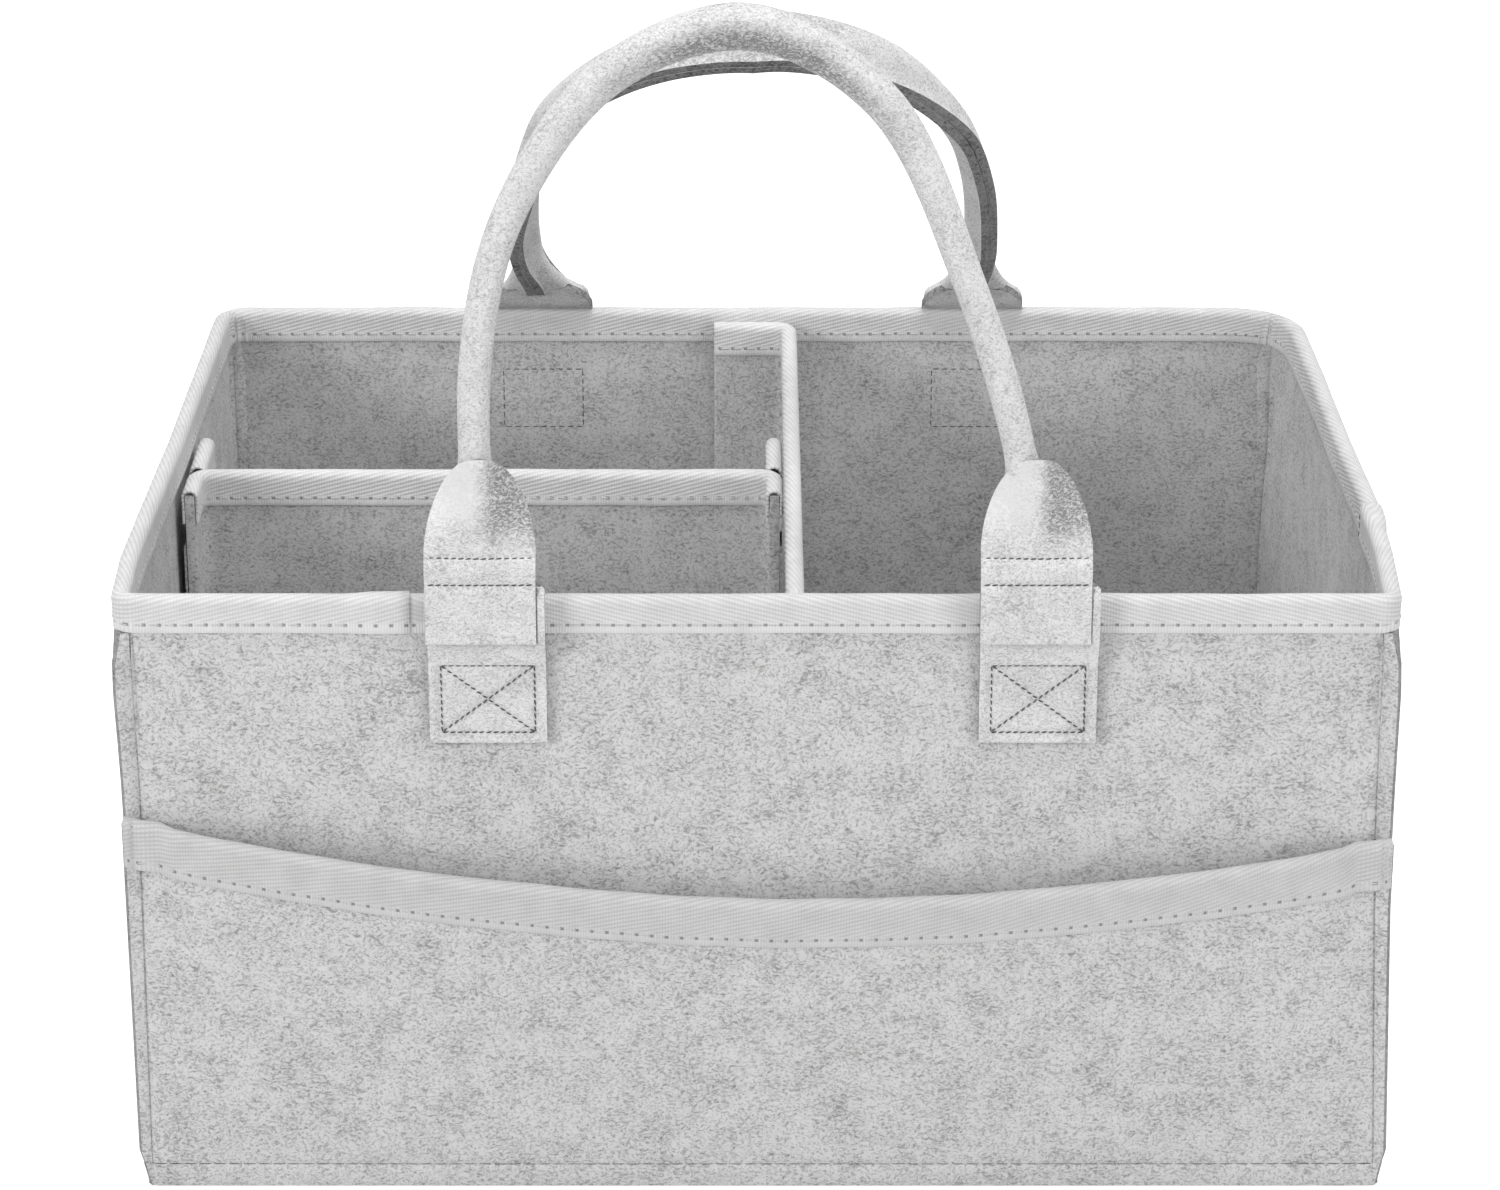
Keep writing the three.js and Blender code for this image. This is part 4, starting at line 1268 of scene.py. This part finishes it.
def make_strap(side, hand, x_middle, node_low):
    handle = HANDLES[side]
    turn, lean = handle["turn"], handle["lean"]
    low_t = node_low - HINGE_Z + strap_depth * math.tan(lean / 2)
    high_t = handle["strap_top"]
    half = STRAP_WIDTH / 2
    box_half = half - BOX_INSET
    box_low = node_low + BOX_FOOT
    seams = box_cross(box_half, box_low, BOX_TOP)
    ts = list(np.linspace(low_t, high_t, STRAP_ROWS + 1))

    def point(x, t, out=0.0):
        inward, up = layer_point(lean, strap_depth, t)
        z = HINGE_Z + up
        inward += SKIN * (1 - ease(z, STEP_LOW, STEP_HIGH))
        free_edge = ease(x, STEP_X, STEP_X + STEP_RUN) if handle["strap_step"] else 0.0
        inward += STRAP_END_IN * ease(t, *STRAP_END_ZONE) * (1 - STEP_HOLD * free_edge)
        inward -= handle["strap_step"] * free_edge * ease(z, BOX_TOP, STEP_HIGH)
        out_in, out_up = layer_out(lean, t)
        return turned(turn, x_middle + x, -HINGE_OUT + inward + out * out_in, z + out * out_up)

    def place(i, j):
        width = rounded_half_width(ts[j], high_t, half, handle["strap_corner"])
        return point(width * STRAP_SPREAD[i], ts[j])

    strap = lay(f"{side}_{hand}_strap_felt", STRAP_COLUMNS, STRAP_ROWS, place)
    area = thicken(strap, FELT, pale_felt, pale_edge, STRAP_SOFTEN)
    outward = turned(turn, 0, -1, 0)
    face_out = outward.dot(point(0, low_t)) + FACE_LEVEL
    for vertex in strap.data.vertices:
        if vertex.co.z < STEP_LOW and vertex.co.dot(outward) > face_out:
            x = turned(-turn, *vertex.co)[0] - x_middle
            press = bell(seam_distance(x, vertex.co.z, seams), 0, BOX_PRESS_WIDTH)
            inside = abs(x) < box_half and box_low < vertex.co.z < BOX_TOP
            sink = BOX_SINK if inside else BOX_SINK * press
            vertex.co -= outward * (BOX_PRESS * press + sink)
    dress(strap, "pale_felt", None, f"{side}_{hand}_strap")
    cross_fold(strap, side, x_middle)
    cut_from(strap, STRAP_WIDTH, high_t - low_t, area)

    cross, inner = [], []
    to_t = -HINGE_Z + strap_depth * math.tan(lean / 2)
    thread_out = FELT / 2 - BOX_THREAD_SINK
    for (x0, z0), (x1, z1) in seams:
        line = [point(lerp(x0, x1, s), lerp(z0, z1, s) + to_t, thread_out) for s in SEAM_SHARES]
        cross.extend(marks_along(line, [outward] * len(line), ANCHOR_PITCH))
    for (x0, z0), (x1, z1) in seams[:4]:
        line = []
        for s in SEAM_SHARES:
            z = lerp(z0, z1, s)
            y = -HALF_Y - wall_bow(x_middle, z, HALF_X, LONG_BOW) + FELT + 0.02 * MM
            line.append(turned(turn, x_middle + lerp(x0, x1, s), y, z))
        inner.extend(marks_along(line, [-outward] * len(line), INNER_PITCH))
    sew(
        f"{side}_{hand}_box_stitches", cross, grey_thread, "pale_felt", "caddy",
        length=1.7 * MM, thickness=0.5 * MM, slant=STITCH_SLANT,
    )
    sew(
        f"{side}_{hand}_inner_stitches", inner, grey_thread, "felt", "caddy",
        length=2.2 * MM, thickness=0.4 * MM,
    )


def anchor_foot(side, node):
    """A node's middle along X, in the handle's own turn, and its lowest height."""
    low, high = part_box(node)
    return (low.x + high.x) / 2 * math.cos(HANDLES[side]["turn"]), low.z


for side, hand in ANCHORS:
    middle, low_z = anchor_foot(side, f"{side}_{hand}_strap")
    make_strap(side, hand, middle + HANDLES[side]["strap_shift"], low_z)
print("straps:", STRAP_COLUMNS * STRAP_ROWS, "quads each before thickening")

# %% [markdown]
# The tabs
# A tab starts flat over the rim and closes round the tube of the handle at its nose, so its upper half
# is a cone with a soft ridge. Two rows of stitches cross it just above the rim.

# %% Tabs
TAB_WIDTH = 32.6 * MM
TAB_RISE = 41 * MM
TAB_NOSE = 29 * MM
TAB_COLUMNS, TAB_FLAT_ROWS, TAB_NOSE_ROWS = 36, 44, 26
NOSE_POINT = 0.22
RIDGE_SOFTNESS = 2.2 * MM
TAB_LIFT = 1.2 * MM
TAB_PUFF, TAB_PUFF_T, TAB_PUFF_WIDTH = 0.5 * MM, 7.5 * MM, 2.6 * MM
TAB_ROW_HEIGHTS = (3.6 * MM, 11.4 * MM)
ROW_PRESS, ROW_PRESS_WIDTH = 0.6 * MM, 0.9 * MM
WRAP_FROM = 8 * MM
REAR_TAB_AHEAD, REAR_TAB_IN = 8 * MM, 1.8 * MM
tab_depth = HINGE_CLEARANCE + FELT / 2
tab_shoulder = TAB_RISE - TAB_NOSE


def nose_point(across, share):
    """A square grid bent to half an ellipse: across from -1 to 1, share from 0 at the shoulder to 1."""
    a = TAB_WIDTH / 2 * across * math.sqrt(1 - share * share / 2)
    up = share * math.sqrt(1 - across * across / 2)
    return a * (1 - NOSE_POINT * up**1.5), tab_shoulder + TAB_NOSE * up


def tab_wrap(a, t, slope):
    """How far the tab falls back from its ridge, at a from its middle line: more towards the nose."""
    share = clamp((t - WRAP_FROM) / (TAB_RISE - WRAP_FROM)) ** 1.3
    return slope * share * (math.hypot(a, RIDGE_SOFTNESS) - RIDGE_SOFTNESS)


def tab_half(t):
    """Half the width of the flat tab at t from the fold."""
    up = min(max((t - tab_shoulder) / TAB_NOSE, 0.0), 0.99)
    return TAB_WIDTH / 2 * math.sqrt(1 - up * up) * (1 - NOSE_POINT * up**1.5)


def make_tab(side, hand, x_middle, node_low):
    handle = HANDLES[side]
    turn, lean = handle["turn"], handle["lean"]
    low_t = node_low - HINGE_Z + tab_depth * math.tan(lean / 2)
    rows = TAB_FLAT_ROWS + TAB_NOSE_ROWS

    def point(a, t, out=0.0):
        inward, up = layer_point(lean, tab_depth, t)
        puff = TAB_PUFF * bell(t, TAB_PUFF_T, TAB_PUFF_WIDTH) * (1 - (a / (TAB_WIDTH / 2)) ** 2)
        for row in TAB_ROW_HEIGHTS:
            puff -= ROW_PRESS * bell(t, row, ROW_PRESS_WIDTH)
        drift = 0.0
        if side == "rear":
            a *= min(1.0, (flare_half(side, t + REAR_TAB_AHEAD) - REAR_TAB_IN) / tab_half(t))
            drift = leg_drift(side, hand, max(t, 0.0))
        back = tab_wrap(a, t, handle["wrap"]) - puff - out
        out_in, out_up = layer_out(lean, t)
        y, z = -HINGE_OUT + inward - back * out_in, HINGE_Z + up - back * out_up
        return turned(turn, x_middle + a + drift, y, z)

    def nose_place(i, j):
        return nose_point(2 * i / TAB_COLUMNS - 1, (j - TAB_FLAT_ROWS) / TAB_NOSE_ROWS)

    def place(i, j):
        if j > TAB_FLAT_ROWS:
            return point(*nose_place(i, j))
        across = 2 * i / TAB_COLUMNS - 1
        return point(across * TAB_WIDTH / 2, lerp(low_t, tab_shoulder, j / TAB_FLAT_ROWS))

    # Painted shade on the right half of the nose and a painted highlight on its left half, as a lamp from the
    # left would give.
    def painted_light_amounts(i, j):
        if j <= TAB_FLAT_ROWS:
            return 0.0
        a, t = nose_place(i, j)
        shaded_side = ease(a, -2 * MM, 5 * MM) * ease(t, 10 * MM, 24 * MM)
        # The left half of the nose, which gets the painted highlight.
        smooth = ease(a, 3 * MM, -3 * MM) * ease(t, 16 * MM, 27 * MM)
        return handle["rub"] * (shaded_side - 0.7 * smooth)

    tab = lay(f"{side}_{hand}_tab_felt", TAB_COLUMNS, rows, place)
    wear(tab, [painted_light_amounts(i, j) for j in range(rows + 1) for i in range(TAB_COLUMNS + 1)])
    area = thicken(tab, FELT, pale_felt, pale_edge, FELT_SOFTEN)
    dress(tab, "pale_felt", None, f"{side}_{hand}_tab_foot", f"{side}_handle_{hand}_tab")
    cross_fold(tab, side, x_middle)
    width = max(run_length([place(i, j) for i in range(TAB_COLUMNS + 1)])[-1] for j in range(rows))
    cut_from(tab, width, TAB_RISE - low_t, area)

    marks = []
    half = TAB_WIDTH / 2 - 0.8 * MM
    outward = turned(turn, 0, -1, 0)
    for t in TAB_ROW_HEIGHTS:
        line = [point(a, t, FELT / 2 + 0.12 * MM) for a in np.linspace(-half, half, 14)]
        marks.extend(marks_along(line, [outward] * len(line), ANCHOR_PITCH))
    seam = sew(
        f"{side}_{hand}_tab_stitches", marks, grey_thread, "pale_felt", None,
        length=2.0 * MM, thickness=0.65 * MM, slant=STITCH_SLANT,
    )
    cross_fold(seam, side, x_middle)


for side, hand in ANCHORS:
    middle, low_z = anchor_foot(side, f"{side}_{hand}_tab_foot")
    make_tab(side, hand, middle + HANDLES[side]["tab_shift"], low_z + TAB_LIFT)
print("tabs rise", round(TAB_RISE / MM), "mm above the fold")

# %% [markdown]
# The handles
# A handle is one strip of felt rolled round a cord, with its two cut edges pressed together towards the
# basket. At each end the strip is cut wider and the roll is flattened to a double layer under its tab.
# The grid follows that: its rows go across the strip, and each row is bent to the section at its station.
# The inner layer ends higher than the outer one, so that a handle that leans in stays clear of the rim.

# %% The rolled section
FLAT_RADIUS = (FELT + FIT) / 2
CROWN_HALF_WIDTH = 7 * MM
CROWN_HALF_DEPTH = 9.2 * MM
GRIP_FIN = 4 * MM
GRIP_FIN_ZONE = (10 * MM, 22 * MM)
GRIP_STATIONS, GRIP_ROWS = 150, 40
SET_BACK_OVER = 20 * MM
TWIST_ZONE = (20 * MM, 50 * MM)
TWIST_FADES = ((110 * MM, 170 * MM), (55 * MM, 90 * MM))
CORD_AROUND, CORD_ALONG = 16, 120
CORD_START = FLARE_END + 14 * MM
grip_face = HINGE_CLEARANCE + FELT + FIT


def crown_share(share):
    return (1 - min(abs(2 * share - 1) / 0.5, 1.0)) ** 1.3


def grip_row(centre, across, deep, fin, count):
    """The strip's middle line across the handle as points (sideways, inward), cut edge to cut edge.

    The strip goes round two ends of those half axes: together they are a tube, apart a flat double layer.
    """
    fin_half = (FELT + FIT) / 2
    tip = deep + fin
    root = tip - 0.45 * fin
    spread = (fin_half - centre) * deep / across
    tangent = math.atan2(spread, root) + math.acos(min(1.0, deep / math.hypot(spread, root)))
    half = [(fin_half, tip), (fin_half, root)]
    for angle in np.linspace(tangent, math.pi, 24):
        half.append((centre + across * math.sin(angle), deep * math.cos(angle)))
    line = np.array([*half, *[(-a, b) for a, b in reversed(half)]])
    run = run_length(line)
    places = np.linspace(0, run[-1], count)
    return np.stack([np.interp(places, run, line[:, k]) for k in range(2)], axis=1)


def in_handle(side, x, inward, up):
    """A point of the upright handle, leaned and turned to where the handle rests."""
    handle = HANDLES[side]
    c, s = math.cos(handle["lean"]), math.sin(handle["lean"])
    return turned(handle["turn"], x, -HINGE_OUT + inward * c + up * s, HINGE_Z - inward * s + up * c)


# %% [markdown]
# The strip and its cord
# Each station of a grip has its own section: its size, its twist, the dent that a hand leaves at the
# The cord inside is a twist of three strands. The crowns are darkened underneath by painted shade.

# %% Handle strips and cords
def make_grip(side):
    walk = arch_walks[side]
    handle = HANDLES[side]
    first = handle["grip_start"]
    stations = np.linspace(first, walk.length - first, GRIP_STATIONS + 1)
    rows, painted_light_amounts = [], []
    for s in stations:
        share = s / walk.length
        t = min(s, walk.length - s)
        crown = crown_share(share)
        flat = ease(flare_share(t), 0.0, 0.75)
        uneven = 1 + 0.04 * noise.noise((s * 30, handle["lean"] * 9, 0))
        across, deep = (
            lerp(lerp(LEG_RADIUS, full, crown) * uneven - FELT / 2, FLAT_RADIUS, flat)
            for full in (CROWN_HALF_WIDTH, CROWN_HALF_DEPTH)
        )
        centre = max(0.0, flare_half(side, t) - FELT / 2 - across) if t < FLARE_END else 0.0
        fin = GRIP_FIN * ease(t, *GRIP_FIN_ZONE) + FIT
        row = grip_row(centre, across, deep, fin, GRIP_ROWS + 1)
        end = 0 if s < walk.length / 2 else 1
        twist = handle["twist"][end] * ease(t, *TWIST_ZONE) * (1 - ease(t, *TWIST_FADES[end]))
        c, sine = math.cos(twist), math.sin(twist)
        row = np.stack([row[:, 0] * c - row[:, 1] * sine, row[:, 0] * sine + row[:, 1] * c], axis=1)
        # This mask shapes the crown's dent and also where painted shade darkens the underside of the front
        # crown.
        hollow = np.exp(-(((row[:, 0] / across - 0.5) / 0.6) ** 2)) * np.clip(0.6 - row[:, 1] / deep, 0, 1)
        at_crown = ease(1 - abs(2 * share - 1.04) / 0.3, 0.0, 0.9)
        row[:, 1] += handle["dent"] * at_crown * hollow
        # On the rear handle the painted shade stands for the shadow of the front handle.
        spread = hollow if side == "front" else np.ones(len(row))
        painted_light_amounts.append(handle["crown_rub"] * at_crown * spread)
        wrapped = ease(flare_share(t), 0.0, 0.45)
        row[:, 1] += [wrapped * tab_wrap(a, t, handle["wrap"]) for a in row[:, 0]]
        row[:, 1] += deep + FELT / 2
        rows.append(row)

    def place(i, j):
        centre = walk.at(stations[i])
        outside = walk.outside(stations[i])
        sideways, inward = rows[i][j]
        x, up = centre + outside * sideways
        t = min(stations[i], walk.length - stations[i])
        up += handle["set_back"] * inward * (1 - ease(t, first, SET_BACK_OVER))
        return in_handle(side, x, grip_face + inward, up)

    grip = lay(f"{side}_handle_grip_felt", GRIP_STATIONS, GRIP_ROWS, place)
    wear(grip, np.array(painted_light_amounts).T.ravel())
    area = thicken(grip, FELT, pale_felt, pale_edge, FELT_SOFTEN)
    dress(grip, "pale_felt", f"{side}_handle", f"{side}_handle_grip")
    across = max(run_length(row)[-1] for row in rows)
    cut_from(grip, walk.length - 2 * first, across, area)


def make_cord(side):
    walk = arch_walks[side]
    stations = np.linspace(CORD_START, walk.length - CORD_START, CORD_ALONG + 1)

    def place(i, j):
        s = stations[i]
        crown = crown_share(s / walk.length)
        angle = 2 * math.pi * j / CORD_AROUND
        strand = 1 + 0.06 * math.cos(3 * angle + s * 400)
        radius = (lerp(LEG_RADIUS, CROWN_HALF_WIDTH, crown) - FELT - FIT) * 0.93 * strand
        middle = grip_face + lerp(LEG_RADIUS, CROWN_HALF_DEPTH, crown)
        centre, outside = walk.at(s), walk.outside(s)
        x, up = centre + outside * radius * math.cos(angle)
        return in_handle(side, x, middle + radius * math.sin(angle), up)

    cord = lay(f"{side}_handle_core_cord", CORD_ALONG, CORD_AROUND, place)
    cord.data.materials.append(cord_cotton)
    pick(cord)
    bpy.ops.object.mode_set(mode="EDIT")
    bpy.ops.mesh.select_mode(type="VERT")
    bpy.ops.mesh.select_all(action="SELECT")
    bpy.ops.mesh.remove_doubles(threshold=0.01 * MM)
    bpy.ops.mesh.select_all(action="DESELECT")
    bpy.ops.mesh.select_non_manifold()
    bpy.ops.mesh.fill_holes(sides=0)
    bpy.ops.mesh.select_all(action="SELECT")
    bpy.ops.mesh.normals_make_consistent(inside=False)
    bpy.ops.object.mode_set(mode="OBJECT")
    bpy.ops.object.shade_smooth_by_angle(angle=math.radians(50))
    dress(cord, "core", f"{side}_handle", f"{side}_handle_core")


cord_cotton = thread_finish("cotton_cord", 0.66)
for side in HANDLES:
    make_grip(side)
    make_cord(side)
    print(side, "handle strip:", round(arch_walks[side].length, 3), "m long")

# %% [markdown]
# The dividers
# Both dividers are sheets bent at their ends. The long one runs from front to back with a flap along
# each long wall. The short one has ends bent forward and a loose flap behind each end. Strips of hook
# tape on the flaps grip the felt, so the dividers can be moved.

# %% Dividers
MAIN_FLAP = 26 * MM
CROSS_FLANGE = 20 * MM
CROSS_FLAP = 28 * MM
CROSS_FLAP_SEAT = 22 * MM
DIVIDER_FOLD = 5 * MM
DIVIDER_DROP = 11.5 * MM
DIVIDER_ROWS = 29
DIVIDER_SWAY = 0.5 * MM
SWAY_RISE = 60 * MM
SWAY_ENDS = (25 * MM, 60 * MM)
TAPE_SWAY = 0.15 * MM
TAPE_SEAM_END = 1.5 * MM
divider_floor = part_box("main_divider")[0].z
divider_tape_width = tape_width(DIVIDER_DROP, DIVIDER_DROP)
divider_tape = tape_finish("divider_tape", 0.86, divider_tape_width)


def stations_of(walk, spacing=4 * MM):
    """Even stations along a walk, with every point of its rounded corners kept."""
    even = np.linspace(0, walk.length, max(2, int(walk.length / spacing)))
    return np.unique(np.round(np.concatenate([even, walk.run]), 6))


def make_divider(node, walk, crest, body, notch=None):
    """A bent sheet under a tape whose crest is at that height. notch(s) is a lower top edge."""
    low, top = divider_floor, crest - EDGE_UNDER_TAPE
    stations = stations_of(walk)
    heights = np.linspace(low, top, DIVIDER_ROWS + 1)

    def place(i, j):
        s = stations[i]
        z = heights[j] if notch is None else min(heights[j], notch(s))
        sway = DIVIDER_SWAY * noise.noise((s * 18, z * 18, 2.2)) * ease(z, low, low + SWAY_RISE)
        sway *= ease(min(s, walk.length - s), *SWAY_ENDS)
        point = walk.at(s) + walk.outside(s) * sway
        return Vector((point[0], point[1], z))

    piece = lay(f"{node}_felt", len(stations) - 1, DIVIDER_ROWS, place)
    area = thicken(piece, FELT, felt, felt, FELT_SOFTEN)
    dress(piece, "felt", body, node)
    cut_from(piece, walk.length, top - low, area)


def bind_divider(node, walk, crest, body):
    drop = DIVIDER_DROP
    name = f"{node}_binding"
    piece = make_tape(f"{name}_tape", walk, crest, drop, drop, stations_of(walk), sway=TAPE_SWAY)
    area = thicken(piece, TAPE, divider_tape, divider_tape, TAPE_SOFTEN, steps=1)
    dress(piece, "tape", body, name)
    cut_from(piece, walk.length, divider_tape_width, area)
    marks = seam_marks(walk, crest, drop, drop, TAPE_SEAM_END, walk.length - TAPE_SEAM_END)
    sew(f"{name}_stitches", marks, pale_thread, "tape", body)


def bent_ends(start, end, leg):
    """The plan of a sheet from start to end, with a leg of that offset at each end."""
    points = [np.add(start, leg), start, end, np.add(end, leg)]
    return Walk(plan_line(points, DIVIDER_FOLD))


main_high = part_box("main_divider_binding")[1]
main_x = main_high.x - SKIN - FELT / 2
main_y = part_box("main_divider")[1].y - FELT / 2
main_walk = bent_ends((main_x, -main_y), (main_x, main_y), (-MAIN_FLAP, 0))
cross_low, cross_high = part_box("cross_divider")
cross_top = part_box("cross_divider_binding")[1].z
cross_left, cross_right = cross_low.x + FELT / 2, cross_high.x - FELT / 2
cross_y = cross_high.y - FELT / 2
cross_walk = bent_ends((cross_left, cross_y), (cross_right, cross_y), (0, -CROSS_FLANGE))
for node, walk, crest in (("main_divider", main_walk, main_high.z), ("cross_divider", cross_walk, cross_top)):
    make_divider(node, walk, crest, f"{node}_unit")
    bind_divider(node, walk, crest, f"{node}_unit")

# %% [markdown]
# The loose flaps
# A flap is sewn on behind each end of the short divider. Its seat is cut lower, to pass under the tape.

# %% Flaps behind the short divider
seat_y = cross_y + FELT + FIT
seat_run = CROSS_FLAP_SEAT + 3 * MM
under_tape = cross_top - DIVIDER_DROP - FIT


def seat_notch(s):
    return lerp(under_tape, cross_top - EDGE_UNDER_TAPE, ease(s, seat_run, seat_run + 0.5 * MM))


for hand, x, inward in (("left", cross_left, 1), ("right", cross_right, -1)):
    node = f"cross_divider_{hand}_flap"
    corner, flap_end = (x, seat_y), (x, seat_y + CROSS_FLAP)
    flap_line = plan_line([(x + inward * CROSS_FLAP_SEAT, seat_y), corner, flap_end], DIVIDER_FOLD)
    make_divider(node, Walk(flap_line), cross_top, "cross_divider_unit", seat_notch)
    tape_line = np.array([(x, seat_y - FIT), flap_end])
    bind_divider(node, Walk(tape_line), cross_top, "cross_divider_unit")
print("dividers:", round(main_walk.length, 3), round(cross_walk.length, 3))

# %% [markdown]
# Hook strips
# The hook strips are stiff woven tape, and their CAD shape is right, so they keep it. They only need the
# finish: rows of tiny plastic hooks on a grey ground.

# %% Hook strip finish
board, hook_finish = new_board("hook_strip")
place = board.node("TexCoord", output=3)
hooks = board.node("TexVoronoi", {"feature": "F1"}, {"Vector": place, "Scale": 900.0})
colour = board.node("ValToRGB", {"stops": [(0.1, 0.62), (0.6, 0.36)]}, {0: hooks})
cloth_output(board, colour, board.bump(1 - hooks, 0.5 * MM), 0.6, 0.0)
for name, node in frame["nodes"].items():
    if name.endswith("hook_strip"):
        node.data.materials.clear()
        node.data.materials.append(hook_finish)

# %% [markdown]
# Floor and light
# The caddy stands on a white floor under plain studio light: a soft light on each side in front, a wide
# one overhead, and an even fill from all round. The camera sees the floor as white, but the floor
# still takes the caddy's shadow.

# %% Stage
FLOOR_GREY, FLOOR_GLOW = 0.8, 0.66
FILL = 0.46

bpy.ops.object.select_all(action="DESELECT")
bpy.ops.mesh.primitive_plane_add(size=12)
floor = bpy.context.object
floor.name = "floor"
floor.location.z = -0.2 * MM
board, floor_finish = new_board("white_floor")
diffuse = board.node("BsdfDiffuse", None, {"Color": grey(FLOOR_GREY)})
seen = board.node("LightPath")
glow = board.node("Emission", None, {"Color": grey(1.0), "Strength": seen * FLOOR_GLOW})
board.node("OutputMaterial", None, {"Surface": board.node("AddShader", None, {0: diffuse, 1: glow})})
floor.data.materials.append(floor_finish)

world = bpy.data.worlds.new("studio")
bpy.context.scene.world = world
world.use_nodes = True
board = Board(world.node_tree)
fill = board.node("Background", None, {"Color": grey(1.0), "Strength": FILL})
white = board.node("Background", None, {"Color": grey(1.0), "Strength": 1.0})
seen = board.node("LightPath")
board.node("OutputWorld", None, {"Surface": board.node("MixShader", None, {0: seen, 1: fill, 2: white})})


def softbox(name, place, aim, size, power):
    light = bpy.data.lights.new(name, "AREA")
    light.shape = "RECTANGLE"
    light.size, light.size_y = size
    light.energy = power
    lamp = bpy.data.objects.new(name, light)
    lamp.location = place
    lamp.rotation_euler = (Vector(aim) - Vector(place)).to_track_quat("-Z", "Y").to_euler()
    bpy.context.scene.collection.objects.link(lamp)


softbox("front_left_softbox", (-1.9, -1.7, 1.1), (0, 0, 0.12), (1.0, 0.8), 23)
softbox("front_right_softbox", (1.9, -1.6, 1.1), (0, 0, 0.12), (1.0, 0.8), 15)
softbox("overhead_softbox", (0.1, 0.0, 2.0), (0, 0, 0.1), (1.4, 1.4), 22)

# %% [markdown]
# Sizes
# The cut sizes are printed.

# %% Sizes and the end
print("cuts in mm:", cuts)
